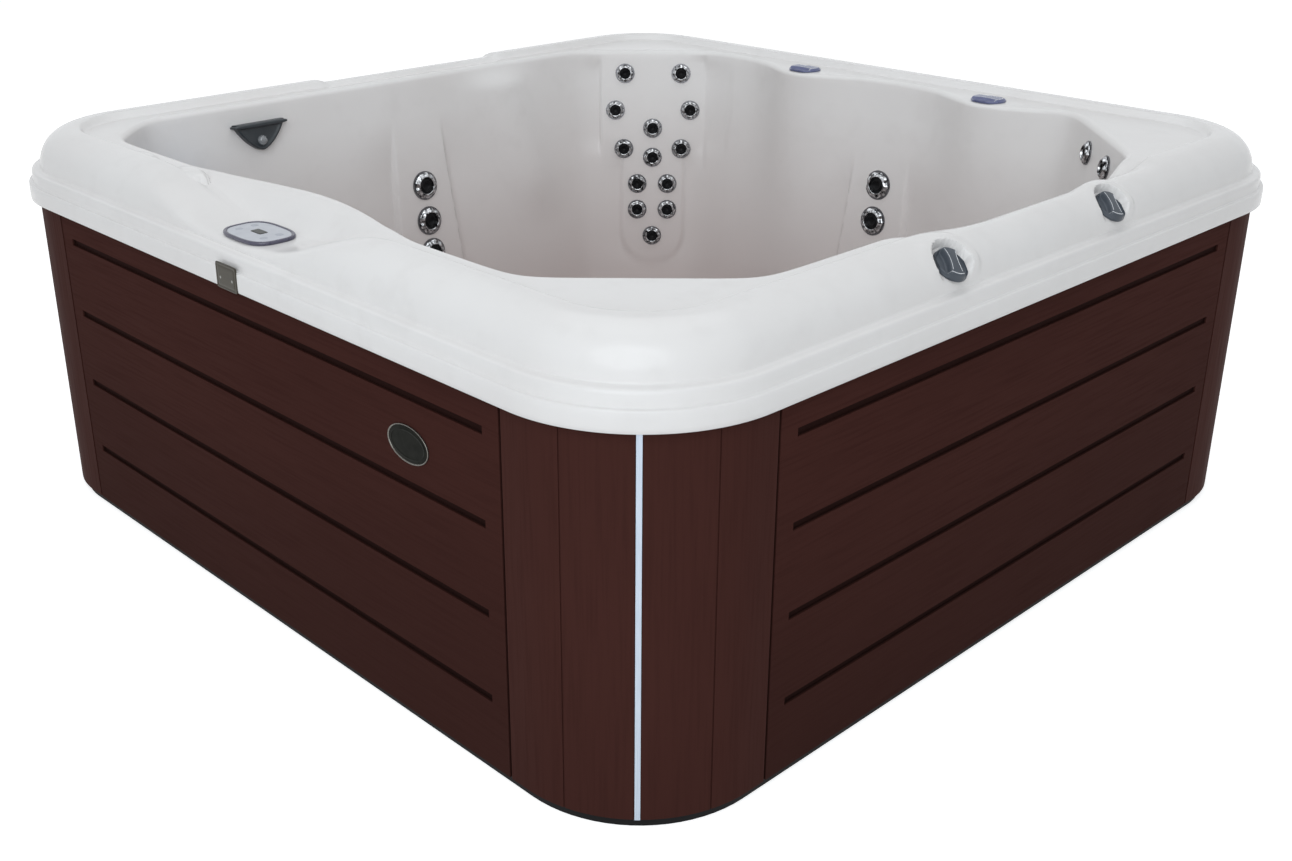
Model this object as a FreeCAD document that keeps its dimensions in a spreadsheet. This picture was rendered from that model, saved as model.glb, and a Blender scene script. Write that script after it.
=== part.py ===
"""Square hot tub: moulded shell, panelled cabinet, control panel, jets, knobs and the equipment inside.

Millimetres. The origin is on the floor under the middle of the tub, +Z is up, and the front face, with the
control panel, faces -Y.
"""
import FreeCAD, Part
import math
import os
import re

import Sketcher
from FreeCAD import Placement, Rotation, Vector

SIZES = {
    # cabinet
    "cabinet_side": 2250,
    "cabinet_radius": 280,
    "panel_thickness": 20,
    "panel_lap": 20,
    "panel_top": "lip_bottom + panel_lap",
    "corner_flat": 45,
    "panel_half": "cabinet_side / 2 - cabinet_radius - corner_flat",
    "panel_seam": 6,
    "groove_first": 170,
    "groove_head": 87,
    "groove_pitch": "(panel_top - groove_head - groove_first) / 3",
    "groove_width": 16,
    "groove_depth": 7,
    "groove_margin": 46,
    "seam_turn": 17.6,
    "seam_width": 3,
    "seam_depth": 2,
    "strip_width": 10,
    "strip_proud": 1,
    "strip_gap": 0.5,
    # base pan
    "plinth_height": 22,
    "plinth_inset": 12,
    "pan_floor": 8,
    "pan_wall": 8,
    "pan_upstand": 60,
    "fit_gap": 0.5,
    # timber frame
    "timber_thick": 38,
    "timber_deep": 89,
    "stud_inset": 180,
    "stud_offset": "panel_half - stud_inset",
    "rail_lap": 40,
    "rail_half": "panel_half + rail_lap",
    "rail_rise": 14,
    "rail_top": "lip_bottom + rail_rise",
    # rim of the shell
    "rim_overhang": 20,
    "rim_top": 924,
    "rim_height": 159,
    "lip_bottom": "rim_top - rim_height",
    "lip_height": 40,
    "bead_inset": 10,
    "bead_height": 30,
    "roll_inset": 31,
    "roll_radius": 85,
    "crest_width": 128,
    "ledge_drop": 17,
    "shell_wall": 8,
    # basin of the shell
    "rim_width": 190,
    "opening_half": "cabinet_side / 2 + rim_overhang - rim_width",
    "corner_half": 209.574,
    "corner_cut": "opening_half * sqrt(2) - corner_half",
    "right_corner_half": 242.574,
    "right_corner_cut": "opening_half * sqrt(2) - right_corner_half",
    "edge_radius": 120,
    "far_edge_radius": 45,
    "left_corner_radius": 250,
    "wall_lean": 85,
    "seat_top": 235,
    "footwell_half": 520,
    "footwell_lean": 40,
    "footwell_radius": 150,
    # shelf and bulge at the control panel
    "control_x": -40,
    "control_inset": 99,
    "control_y": "control_inset - cabinet_side / 2 - rim_overhang",
    "shelf_half": 150,
    "shelf_reach": 61,
    "shelf_back": "control_y + shelf_reach",
    "shelf_drop": 74,
    "shelf_top": "rim_top - shelf_drop",
    "bulge_radius": 518,
    "bulge_reach": 70,
    # control panel
    "bezel_long": 80,
    "bezel_short": 56,
    "bezel_height": 8,
    "bezel_rim": 7,
    "bezel_floor": 2,
    "face_height": 5,
    "display_long": 36,
    "display_short": 16,
    "display_height": 2,
    "button_radius": 8,
    "button_gap": 0.4,
    "button_travel": 1,
    "button_spread": 46,
    "button_rise": 18,
    # lock plate and badge
    "lock_x": -13,
    "lock_width": 88,
    "lock_height": 68,
    "lock_lap": 10,
    "lock_bottom": "lip_bottom - lock_lap",
    "lock_thick": 3,
    "screw_radius": 2.8,
    "screw_gap": 0.2,
    "badge_inset": 257,
    "badge_x": "panel_half - badge_inset",
    "badge_drop": 181,
    "badge_z": "panel_top - badge_drop",
    "badge_long": 61,
    "badge_short": 42,
    "badge_thick": 4,
    # air knobs on the right roll
    "air_knob_inset": 46,
    "air_knob_x": "cabinet_side / 2 + rim_overhang - air_knob_inset",
    "air_knob_drop": 38,
    "air_knob_z": "rim_top - air_knob_drop",
    "air_knob_tilt": 36,
    "air_knob_first": -298,
    "air_knob_second": 273,
    "air_knob_radius": 37,
    "air_knob_height": 18,
    "dish_radius": 46,
    "dish_depth": 12,
    "dish_wall": 10,
    "stem_radius": 10,
    "stem_gap": 0.06,
    "air_valve_radius": 21,
    "air_valve_height": 48,
    # diverter knobs on the back pilasters
    "diverter_first": -245,
    "diverter_second": 381,
    "diverter_set": -40,
    "diverter_y": "opening_half + diverter_set",
    "diverter_radius": 50,
    "diverter_height": 10,
    "pilaster_radius": 75,
    "diverter_valve_radius": 40,
    "diverter_valve_height": 110,
    "knob_lift": 0.3,
    "grip_width": 12,
    "grip_height": 4,
    "stem_depth": 24,
    # jets
    "small_bezel": 28,
    "small_flange": 30,
    "small_barrel": 22,
    "small_bore": 17,
    "small_nozzle": 13,
    "large_bezel": 39,
    "large_flange": 42,
    "large_barrel": 32,
    "large_bore": 26,
    "large_nozzle": 20,
    "jet_flange_thick": 3,
    "jet_face_height": 10,
    "jet_body_depth": 70,
    "jet_stub": 25,
    "jet_gap": 0.3,
    "jet_run_gap": 0.06,
    "far_jets_shift": 30,
    "right_jets_drop": 82,
    "right_jets_z": "rim_top - right_jets_drop",
    "left_jets_shift": 15,
    "back_jets_shift": 42,
    # spout
    "spout_inset": 455,
    "spout_y": "spout_inset - opening_half",
    "spout_below": 67,
    "spout_z": "rim_top - spout_below",
    "spout_half": 80,
    "spout_tip": 14,
    "spout_drop": 74,
    "spout_depth": 20,
    "spout_bar": 12,
    "spout_bar_proud": 8,
    "lens_radius": 13,
    "lens_height": 9,
    "lens_drop": 48,
    # filter
    "filter_inset": 165,
    "filter_place": "opening_half - filter_inset",
    "niche_radius": 140,
    "filter_radius": 118,
    "filter_height": 470,
    "filter_neck": 30,
    "filter_handle": 40,
    # equipment under the front seat
    "equipment_z": 100,
    "pump_set": 110,
    "pump_y": "-footwell_half - pump_set",
    "pipe_run": 210,
    "pump_x": "heater_x - pipe_run",
    "motor_radius": 80,
    "motor_length": 260,
    "wet_end_radius": 92,
    "wet_end_length": 90,
    "wet_end_wall": 14,
    "impeller_radius": 66,
    "impeller_thick": 24,
    "shaft_radius": 9,
    "shaft_gap": 0.06,
    "shaft_depth": 60,
    "foot_width": 120,
    "pipe_radius": 25,
    "pipe_wall": 4,
    "pipe_bend": 70,
    "heater_radius": 45,
    "heater_length": 340,
    "heater_run": 110,
    "heater_x": "riser_x - heater_run - heater_length",
    "heater_set": 95,
    "heater_y": "heater_set + panel_thickness - cabinet_side / 2",
    "riser_inset": 150,
    "riser_x": "stud_offset - riser_inset",
    "riser_drop": 284,
    "riser_top": "rim_top - riser_drop",
    "suction_x": 250,
    "suction_radius": 70,
    "suction_height": 18,
    "control_box_inset": 200,
    "control_box_x": "panel_half - control_box_inset",
    "control_box_length": 200,
    "control_box_width": 120,
    "control_box_height": 180,
    "drain_radius": 48,
    "drain_height": 5,
}

# Jets of the far corner: heights of the paired rows over the seat with their half spread, then of the single
# jets, laid out on a wall of the height ROWS_SPAN and spread with the wall
ROWS_SPAN = 672
FAR_PAIRS = ((603, 88), (490, 118), (370, 91), (260, 48), (178, 48))
FAR_SINGLES = (434, 343, 94)
RIGHT_ALONG = (-60, 95)
# Heights over the seat of the large jets
LEFT_HEIGHTS = (362, 259, 165)
BACK_HEIGHTS = (379, 275)
BUTTON_NAMES = ("jets", "light", "warmer", "cooler")

doc = FreeCAD.newDocument("hot_tub")
sheet = doc.addObject("Spreadsheet::Sheet", "Sizes")
for row, alias in enumerate(SIZES, start=1):
    sheet.set(f"A{row}", alias)
    sheet.setAlias(f"B{row}", alias)
for row, number in enumerate(SIZES.values(), start=1):
    sheet.set(f"B{row}", f"={number}" if isinstance(number, str) else str(number))
doc.recompute()

nodes = []


def size(alias):
    """Value of one cell of the sheet."""
    return float(sheet.get(alias))


def cells(text):
    """Expression text with each alias read from the sheet."""
    def from_sheet(word):
        name = word.group()
        return f"Sizes.{name}" if name in SIZES else name

    return re.sub(r"[a-z][a-z_]*", from_sheet, text)


def bind(thing, **sizes):
    """Tie properties of a document object to expressions over the sheet."""
    for name, text in sizes.items():
        thing.setExpression(name, cells(text))


def keep(thing, label):
    """Make a document object one of the tub's sub-parts."""
    thing.Label = label
    nodes.append(thing)
    return thing


def shape_node(shape, label):
    """Sub-part whose solid is worked out from the sheet with Part's own functions."""
    thing = doc.addObject("Part::Feature", label)
    thing.Shape = shape
    return keep(thing, label)


def block(name, length, width, height, x, y, z):
    """Box with its sizes and its low corner tied to the sheet."""
    thing = doc.addObject("Part::Box", name)
    bind(thing, Length=length, Width=width, Height=height)
    for axis, text in zip("xyz", (x, y, z)):
        thing.setExpression(f"Placement.Base.{axis}", cells(text))
    return thing


def rod(name, radius, height, place):
    """Cylinder with its sizes tied to the sheet, standing at a placement."""
    thing = doc.addObject("Part::Cylinder", name)
    bind(thing, Radius=radius, Height=height)
    thing.Placement = place
    return thing


def oval(name, long, short, height, place):
    """Upright oval disc: an ellipse with its radii tied to the sheet, extruded."""
    curve = doc.addObject("Part::Ellipse", f"{name}_curve")
    bind(curve, MajorRadius=long, MinorRadius=short)
    curve.Placement = place
    disc = doc.addObject("Part::Extrusion", name)
    disc.Base = curve
    disc.DirMode = "Custom"
    disc.Dir = place.Rotation.multVec(Vector(0, 0, 1))
    disc.Solid = True
    bind(disc, LengthFwd=height)
    return disc


def joined(name, things):
    """Union of several document objects."""
    thing = doc.addObject("Part::MultiFuse", name)
    thing.Shapes = things
    return thing


def cut(name, base, tool):
    """Difference of two document objects."""
    thing = doc.addObject("Part::Cut", name)
    thing.Base = base
    thing.Tool = tool
    return thing


def group(things, label):
    """Sub-part made of several equal, separate solids."""
    thing = doc.addObject("Part::Compound", label)
    thing.Links = things
    return keep(thing, label)


def origin_plane(body, role):
    """Origin plane of a body by its role."""
    return next(plane for plane in body.Origin.OriginFeatures if plane.Role == role)


def polygon_sketch(body, plane, name, corners):
    """Closed polygon whose corners are tied to the sheet, on one of the body's origin planes."""
    sketch = body.newObject("Sketcher::SketchObject", name)
    sketch.AttachmentSupport = [(origin_plane(body, plane), "")]
    sketch.MapMode = "FlatFace"
    count = len(corners)
    turns = [2 * math.pi * i / count for i in range(count)]
    start = [Vector(math.cos(turn), math.sin(turn), 0) for turn in turns]
    for i in range(count):
        sketch.addGeometry(Part.LineSegment(start[i], start[(i + 1) % count]), False)
    for i in range(count):
        sketch.addConstraint(Sketcher.Constraint("Coincident", i, 2, (i + 1) % count, 1))
    for i, corner in enumerate(corners):
        for kind, axis, text in (("DistanceX", -2, corner[0]), ("DistanceY", -1, corner[1])):
            if text == "0":
                sketch.addConstraint(Sketcher.Constraint("PointOnObject", i, 1, axis))
            else:
                index = sketch.addConstraint(Sketcher.Constraint(kind, -1, 1, i, 1, 1.0))
                sketch.setExpression(f"Constraints[{index}]", cells(text))
    doc.recompute()
    return sketch


def turned_body(label, corners):
    """Body of revolution about its own Z axis, from a half profile of (radius, height) corners."""
    body = doc.addObject("PartDesign::Body", label)
    sketch = polygon_sketch(body, "XZ_Plane", f"{label}_profile", corners)
    solid = body.newObject("PartDesign::Revolution", f"{label}_solid")
    solid.Profile = sketch
    solid.ReferenceAxis = (sketch, ["V_Axis"])
    solid.Angle = 360
    doc.recompute()
    return body


def along(place, distance):
    """Placement moved along its own Z axis."""
    return place.multiply(Placement(Vector(0, 0, distance), Rotation()))


def quarter_turns(place):
    """A placement repeated on the four sides of the tub."""
    return [Placement(Vector(), Rotation(Vector(0, 0, 1), 90 * k)).multiply(place) for k in range(4)]


# Levels and half widths that several pieces share
rim_half = size("cabinet_side") / 2 + size("rim_overhang")
rim_radius = size("cabinet_radius") + size("rim_overhang")
ledge_z = size("rim_top") - size("ledge_drop")
under_ledge = ledge_z - size("shell_wall")
footwell_floor = size("pan_floor") + size("shell_wall")
panel_inner = size("cabinet_side") / 2 - size("panel_thickness")
SQUARE = (0, 90, 180, 270)


def outline(lines, z):
    """Closed wire at height z of straight sides joined by tangent arcs.

    Each side is (direction of its outward normal in degrees, distance from the middle, radius to the next
    side).
    """
    normals = [Vector(math.cos(math.radians(a)), math.sin(math.radians(a)), 0) for a, _, _ in lines]
    count = len(lines)
    starts, ends, middles = [None] * count, [None] * count, [None] * count
    for i in range(count):
        j = (i + 1) % count
        turn = math.radians((lines[j][0] - lines[i][0]) % 360)
        radius = lines[i][2]
        n, m = normals[i], normals[j]
        d, e = lines[i][1], lines[j][1]
        tangent = Vector(-n.y, n.x, 0)
        corner = n * d + tangent * ((e - d * math.cos(turn)) / math.sin(turn))
        back = radius * math.tan(turn / 2)
        ends[i] = corner - tangent * back
        starts[j] = corner + Vector(-m.y, m.x, 0) * back
        centre = ends[i] - n * radius
        middles[i] = centre + (n + m).normalize() * radius
    lift = Vector(0, 0, z)
    edges = []
    for i in range(count):
        j = (i + 1) % count
        edges.append(Part.LineSegment(starts[i] + lift, ends[i] + lift).toShape())
        edges.append(Part.Arc(ends[i] + lift, middles[i] + lift, starts[j] + lift).toShape())
    return Part.Wire(edges)


def rounded_block(half, radius, low, high):
    """Square block with rounded corners between two heights."""
    wire = outline([(a, half, radius) for a in SQUARE], low)
    return Part.Face(wire).extrude(Vector(0, 0, high - low))


def top_rounded(solid, radius):
    """Solid with the edges of its top face rounded."""
    top = solid.BoundBox.ZMax
    edges = [edge for edge in solid.Edges if edge.BoundBox.ZMin > top - 0.001]
    return solid.makeFillet(radius, edges)


def wall_shift(z):
    """How far the basin wall stands in from its top edge at height z, as a negative distance."""
    return -size("wall_lean") * (ledge_z - z) / (ledge_z - size("seat_top"))


def basin_lines(shift, radius_shift):
    """Sides of the basin's outline, moved out by a distance."""
    half = size("opening_half") + shift
    cut_distance = size("corner_cut") + shift
    edge = size("edge_radius") + radius_shift
    far = size("far_edge_radius") + radius_shift
    left = size("left_corner_radius") + radius_shift
    right = size("right_corner_cut") + shift
    return [(0, half, edge), (45, right, edge), (90, half, far), (135, cut_distance, far), (180, half, left),
            (270, half, edge), (315, cut_distance, edge)]


def basin_solid(grow, low, high):
    """Solid between two heights inside the basin wall, grown outwards by a wall thickness."""
    wires = [outline(basin_lines(wall_shift(z) + grow, grow), z) for z in (low, high)]
    return Part.makeLoft(wires, True, True)


def footwell_solid(grow, low, high):
    """Solid between two heights inside the footwell wall, grown outwards by a wall thickness."""
    wires = []
    for z in (low, high):
        lean = size("footwell_lean") * (size("seat_top") - z) / (size("seat_top") - footwell_floor)
        half = size("footwell_half") - lean + grow
        wires.append(outline([(a, half, size("footwell_radius") + grow) for a in SQUARE], z))
    return Part.makeLoft(wires, True, True)


def upright(x, y, radius, low, high):
    """Upright cylinder between two heights."""
    return Part.makeCylinder(radius, high - low, Vector(x, y, low))


def wall_place(direction, distance, sideways, z):
    """Placement on the basin wall: Z points into the water, Y up the wall, X sideways."""
    slope = size("wall_lean") / (ledge_z - size("seat_top"))
    out = Vector(math.cos(math.radians(direction)), math.sin(math.radians(direction)), 0)
    side = Vector(out.y, -out.x, 0)
    inward = Vector(-out.x, -out.y, slope).normalize()
    point = out * (distance + wall_shift(z)) + side * sideways + Vector(0, 0, z)
    return Placement(point, Rotation(side, inward.cross(side), inward, "ZXY"))


def small_jet_places():
    """Placements of the small jets: the far corner's cluster, then the pair in the right corner."""
    shift = size("far_jets_shift")
    seat = size("seat_top")
    spread_up = (ledge_z - seat) / ROWS_SPAN
    spots = [(shift + sign * spread, row) for row, spread in FAR_PAIRS for sign in (-1, 1)]
    spots += [(shift, row) for row in FAR_SINGLES]
    spots.sort(key=lambda spot: -spot[1])
    far = [wall_place(135, size("corner_cut"), x, seat + row * spread_up) for x, row in spots]
    right = [wall_place(45, size("right_corner_cut"), x, size("right_jets_z")) for x in RIGHT_ALONG]
    return far, right


def large_jet_places():
    """Placements of the large jets: the column on the left wall, then the one on the back wall."""
    half, seat = size("opening_half"), size("seat_top")
    left = [wall_place(180, half, size("left_jets_shift"), seat + up) for up in LEFT_HEIGHTS]
    back = [wall_place(90, half, size("back_jets_shift"), seat + up) for up in BACK_HEIGHTS]
    return left, back


def air_knob_places():
    """Placements of the two air knobs: on the face of the roll, Z out of the dish."""
    tilt = Rotation(Vector(0, 1, 0), size("air_knob_tilt"))
    ys = (size("air_knob_first"), size("air_knob_second"))
    return [Placement(Vector(size("air_knob_x"), y, size("air_knob_z")), tilt) for y in ys]


def diverter_places():
    """Placements of the two diverter knobs, on the ledge over the pilasters."""
    xs = (size("diverter_first"), size("diverter_second"))
    return [Placement(Vector(x, size("diverter_y"), ledge_z), Rotation()) for x in xs]


def placed_cylinder(place, radius, low, high):
    """Cylinder along a placement's Z axis between two distances."""
    cylinder = Part.makeCylinder(radius, high - low, Vector(0, 0, low))
    cylinder.Placement = place
    return cylinder


def spout_place():
    """Placement of the spout's top edge on the left wall."""
    return wall_place(180, size("opening_half"), size("spout_y"), size("spout_z"))


def suction_places():
    """Placements of the suction covers on the footwell's front wall, square to the pump's axis."""
    tilt = math.atan2(size("footwell_lean"), size("seat_top") - footwell_floor)
    edge = Vector(0, -size("footwell_half"), size("seat_top"))
    up_wall = Vector(0, -math.sin(tilt), math.cos(tilt))
    pump = Vector(0, size("pump_y"), size("equipment_z"))
    middle = edge + up_wall * (pump - edge).dot(up_wall)
    turn = Rotation(Vector(1, 0, 0), math.degrees(tilt) - 90)
    return [Placement(middle + Vector(sign * size("suction_x"), 0, 0), turn) for sign in (-1, 1)]


def make_shell():
    """Moulded shell: a rolled rim that is hollow underneath, the basin wall, the seat and the footwell."""
    wall = size("shell_wall")
    lip, top = size("lip_bottom"), size("rim_top")
    bead_z = lip + size("lip_height")
    roll = size("roll_inset")
    lip_block = rounded_block(rim_half, rim_radius, lip, bead_z)
    bead_in = size("bead_inset")
    bead = rounded_block(rim_half - bead_in, rim_radius - bead_in, lip, bead_z + size("bead_height"))
    bead_round = 0.6 * bead_in
    roll_block = top_rounded(rounded_block(rim_half - roll, rim_radius - roll, lip, top), size("roll_radius"))
    rim = top_rounded(lip_block, bead_round).fuse([top_rounded(bead, bead_round), roll_block])
    crest = size("crest_width")
    rim = rim.cut(rounded_block(rim_half - crest, rim_radius - crest, ledge_z, top + wall))

    inside = roll + wall
    hollow = rounded_block(rim_half - inside, rim_radius - inside, lip, top - wall)
    hollow = top_rounded(hollow, size("roll_radius") - wall)
    ledge = crest - wall
    hollow = hollow.cut(rounded_block(rim_half - ledge, rim_radius - ledge, under_ledge, top))
    lip_hollow = rounded_block(rim_half - wall, rim_radius - wall, lip, bead_z - wall)
    shell = rim.cut([hollow, lip_hollow])

    x, back = size("control_x"), size("shelf_back")
    half, shelf = size("shelf_half"), size("shelf_top")
    depth = rim_half + back
    pan_corner = Vector(x - half - wall, -rim_half, shelf - wall)
    pan = Part.makeBox(2 * (half + wall), depth + wall, top - shelf + wall, pan_corner)
    pan_inner = Part.makeBox(2 * half, depth + wall, top, Vector(x - half, -rim_half - wall, shelf))
    shell = shell.fuse(pan.common(rim)).cut(pan_inner)

    for place in air_knob_places():
        under = -size("dish_depth") - size("dish_wall")
        boss = placed_cylinder(place, size("dish_radius") + wall, under, top)
        dish = placed_cylinder(place, size("dish_radius"), -size("dish_depth"), top)
        hole = placed_cylinder(place, size("stem_radius") + wall / 4, -top / 4, top)
        shell = shell.fuse(boss.common(rim)).cut([dish, hole])

    seat = size("seat_top")
    basin = basin_solid(wall, seat - wall, ledge_z)
    tub = basin.fuse(footwell_solid(wall, footwell_floor - wall, seat - wall))
    niche = size("filter_place")
    niche_outer = upright(-niche, -niche, size("niche_radius") + wall, seat - wall, ledge_z)
    shell = shell.fuse([tub, niche_outer])

    reach = size("opening_half") - size("bulge_reach") + size("bulge_radius")
    cavity = basin_solid(0, seat, ledge_z + size("ledge_drop"))
    cavity = cavity.cut(upright(x, -reach, size("bulge_radius"), seat, top + wall))
    pilasters = [place.Base for place in diverter_places()]
    for spot in pilasters:
        cavity = cavity.cut(upright(spot.x, spot.y, size("pilaster_radius"), seat, ledge_z))
        cavity = cavity.cut(Part.makeBox(2 * size("pilaster_radius"), top, top,
                                         Vector(spot.x - size("pilaster_radius"), spot.y, seat)))
    footwell = footwell_solid(0, footwell_floor, seat)
    shell = shell.cut([cavity, footwell, upright(-niche, -niche, size("niche_radius"), seat, top)])

    chord = math.sqrt(size("bulge_radius") ** 2 - (size("bulge_radius") - size("bulge_reach")) ** 2)
    bulge_hollow = upright(x, -reach, size("bulge_radius") - wall, seat + wall, under_ledge)
    window = Part.makeBox(2 * chord, size("opening_half"), top, Vector(x - chord, back + 2 * wall, seat))
    hollows = [bulge_hollow.common(window)]
    for spot in pilasters:
        low = seat + 2 * size("bulge_reach")
        hollows.append(upright(spot.x, spot.y, size("pilaster_radius") - wall, low, under_ledge))
        hollows.append(upright(spot.x, spot.y, size("stem_radius") + wall / 4, under_ledge, top))
    shell = shell.cut(hollows)

    holes = []
    for groups, barrel in ((small_jet_places(), "small_barrel"), (large_jet_places(), "large_barrel")):
        holes += [placed_cylinder(place, size(barrel), -3 * wall, wall) for place in sum(groups, [])]
    holes += [placed_cylinder(place, size("pipe_radius"), -3 * wall, wall) for place in suction_places()[1:]]
    lock_y = -rim_half
    holes.append(Part.makeBox(size("lock_width"), size("lock_thick"), top,
                              Vector(size("lock_x") - size("lock_width") / 2, lock_y, 0)))
    for sign in (-1, 1):
        spot = lock_screw_spot(sign)
        holes.append(Part.makeCylinder(size("screw_radius") + size("screw_gap"), wall, spot, Vector(0, 1, 0)))
    shape_node(shell.cut(holes).removeSplitter(), "acrylic_shell")


def lock_screw_spot(sign):
    """Front end of one of the lock plate's two screws."""
    inset = size("lock_width") / 4
    z = size("lip_bottom") + size("lip_height") / 2
    return Vector(size("lock_x") + sign * inset, -rim_half, z)


def make_base_pan():
    """Base pan: a plinth that shows under the cabinet, and an upstand behind the panels."""
    plinth = size("cabinet_side") / 2 - size("plinth_inset")
    plinth_radius = size("cabinet_radius") - size("plinth_inset")
    inner = panel_inner - size("fit_gap")
    inner_radius = size("cabinet_radius") - size("panel_thickness") - size("fit_gap")
    top = size("plinth_height") + size("pan_upstand")
    pan = rounded_block(plinth, plinth_radius, 0, size("plinth_height"))
    pan = pan.fuse(rounded_block(inner, inner_radius, 0, top))
    wall = size("pan_wall")
    hollow = rounded_block(inner - wall, inner_radius - wall, size("pan_floor"), top)
    shape_node(pan.cut(hollow).removeSplitter(), "base_pan")


def make_timber_frame():
    """Studs from the base pan to the underside of the ledge, and rails between the studs and the panels."""
    deep, thick = "timber_deep", "timber_thick"
    inner = f"cabinet_side / 2 - panel_thickness - {thick} - {deep}"
    under = "rim_top - ledge_drop - shell_wall"
    lumber = []
    for side in range(4):
        turn = Placement(Vector(), Rotation(Vector(0, 0, 1), 90 * side))
        pieces = []
        for sign in (-1, 1):
            y = f"{sign} * stud_offset - {thick} / 2"
            stud = block(f"stud_{side}_{sign}", deep, thick, f"{under} - pan_floor", inner, y, "pan_floor")
            pieces.append(stud)
        for name, z in (("low", "plinth_height + pan_upstand"), ("high", f"rail_top - {deep}")):
            x = f"{inner} + {deep}"
            pieces.append(block(f"rail_{side}_{name}", thick, "2 * rail_half", deep, x, "-rail_half", z))
        for number, piece in enumerate(pieces):
            turned = doc.addObject("Part::Compound", f"lumber_{side}_{number}")
            turned.Links = [piece]
            turned.Placement = turn
            lumber.append(turned)
    group(lumber, "timber_frame")


def make_panel(label, turn):
    """Flat cabinet panel with its row of long grooves, turned to its side of the tub."""
    body = doc.addObject("PartDesign::Body", label)
    half = "(panel_half - panel_seam / 2)"
    low, high = "plinth_height", "panel_top"
    sheet_edge = [(f"-{half}", low), (half, low), (half, high), (f"-{half}", high)]
    pad = body.newObject("PartDesign::Pad", f"{label}_board")
    pad.Profile = polygon_sketch(body, "XZ_Plane", f"{label}_edge", sheet_edge)
    pad.Reversed = True
    bind(pad, Length="panel_thickness")
    doc.recompute()
    end = "(panel_half - groove_margin)"
    low, high = "groove_first - groove_width / 2", "groove_first + groove_width / 2"
    groove = body.newObject("PartDesign::Pocket", f"{label}_groove")
    groove.Profile = polygon_sketch(body, "XZ_Plane", f"{label}_slot",
                                    [(f"-{end}", low), (end, low), (end, high), (f"-{end}", high)])
    bind(groove, Length="groove_depth")
    doc.recompute()
    row = body.newObject("PartDesign::LinearPattern", f"{label}_grooves")
    row.Originals = [groove]
    row.Direction = (groove.Profile[0], ["V_Axis"])
    row.Occurrences = 4
    bind(row, Length="groove_pitch * 3")
    body.Tip = row
    outer = Placement(Vector(0, -size("cabinet_side") / 2, 0), Rotation())
    body.Placement = Placement(Vector(), Rotation(Vector(0, 0, 1), turn)).multiply(outer)
    keep(body, label)


def ring_part(inner, outer, first, last, low, high):
    """Part of an upright ring between two directions in degrees."""
    ring = Part.makeCylinder(outer, high - low, Vector(0, 0, low), Vector(0, 0, 1), last - first)
    ring = ring.cut(Part.makeCylinder(inner, high - low, Vector(0, 0, low)))
    ring.rotate(Vector(), Vector(0, 0, 1), first)
    return ring


def make_corners():
    """Rounded corner panels in two halves per corner, and the metal strip between the halves."""
    low, high = size("plinth_height"), size("panel_top")
    outer = size("cabinet_radius")
    inner = outer - size("panel_thickness")
    centre = size("cabinet_side") / 2 - outer
    flat = centre - size("panel_half") - size("panel_seam") / 2
    slot = size("strip_width") / 2 + size("strip_gap")
    half_slot = math.degrees(math.asin(slot / inner))
    half = ring_part(inner, outer, 0, 45 - half_slot, low, high)
    straight = Part.makeBox(size("panel_thickness"), flat, high - low, Vector(inner, -flat, low))
    half = half.fuse(straight).removeSplitter()
    seam = Part.makeBox(2 * size("seam_depth"), size("seam_width"), high,
                        Vector(outer - size("seam_depth"), -size("seam_width") / 2, 0))
    seam.rotate(Vector(), Vector(0, 0, 1), size("seam_turn"))
    half = half.cut(seam)
    mirrored = half.mirror(Vector(), Vector(1, -1, 0))
    strip = Part.makeBox(size("panel_thickness") + size("strip_proud"), size("strip_width"), high - low,
                         Vector(inner, -size("strip_width") / 2, low))
    strip.rotate(Vector(), Vector(0, 0, 1), 45)
    panels, strips = [], []
    for place in quarter_turns(Placement(Vector(centre, centre, 0), Rotation())):
        for shape, bunch in ((half, panels), (mirrored, panels), (strip, strips)):
            copy = shape.copy()
            copy.Placement = place.multiply(copy.Placement)
            bunch.append(copy)
    shape_node(Part.makeCompound(panels), "corner_panels")
    shape_node(Part.makeCompound(strips), "corner_strips")


def make_control_panel():
    """Oval control panel on its shelf: bezel, face, display window and sprung buttons."""
    base = Placement(Vector(size("control_x"), size("control_y"), size("shelf_top")), Rotation())
    inner = ("bezel_long - bezel_rim", "bezel_short - bezel_rim")
    ring = oval("bezel_outer", "bezel_long", "bezel_short", "bezel_height", base)
    floor = along(base, size("bezel_floor"))
    pocket = oval("bezel_pocket", *inner, "bezel_height", floor)
    keep(cut("control_bezel", ring, pocket), "control_bezel")

    gap = "button_gap"
    face = oval("face_disc", f"{inner[0]} - {gap}", f"{inner[1]} - {gap}", "face_height", floor)
    x, y = "control_x - display_long / 2", "control_y - display_short / 2"
    window_z = "shelf_top + bezel_floor + face_height - display_height"
    recess = block("display_recess", "display_long", "display_short", "bezel_height", x, y, window_z)
    spots = [(sx * size("button_spread"), sy * size("button_rise")) for sy in (1, -1) for sx in (-1, 1)]
    places = [base.multiply(Placement(Vector(dx, dy, 0), Rotation())) for dx, dy in spots]
    hole = f"button_radius + {gap}"
    holes = [rod(f"button_hole_{n}", hole, "2 * bezel_height", place) for n, place in enumerate(places)]
    keep(cut("control_face", face, joined("face_openings", [recess, *holes])), "control_face")
    window = block("display_window", "display_long", "display_short", "display_height", x, y, window_z)
    keep(window, "display_window")
    for name, place in zip(BUTTON_NAMES, places):
        lift = size("bezel_floor") + size("button_travel") + size("button_gap")
        pad = rod(f"button_{name}", "button_radius", f"face_height - {gap}", along(place, lift))
        keep(pad, f"button_{name}")


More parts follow.
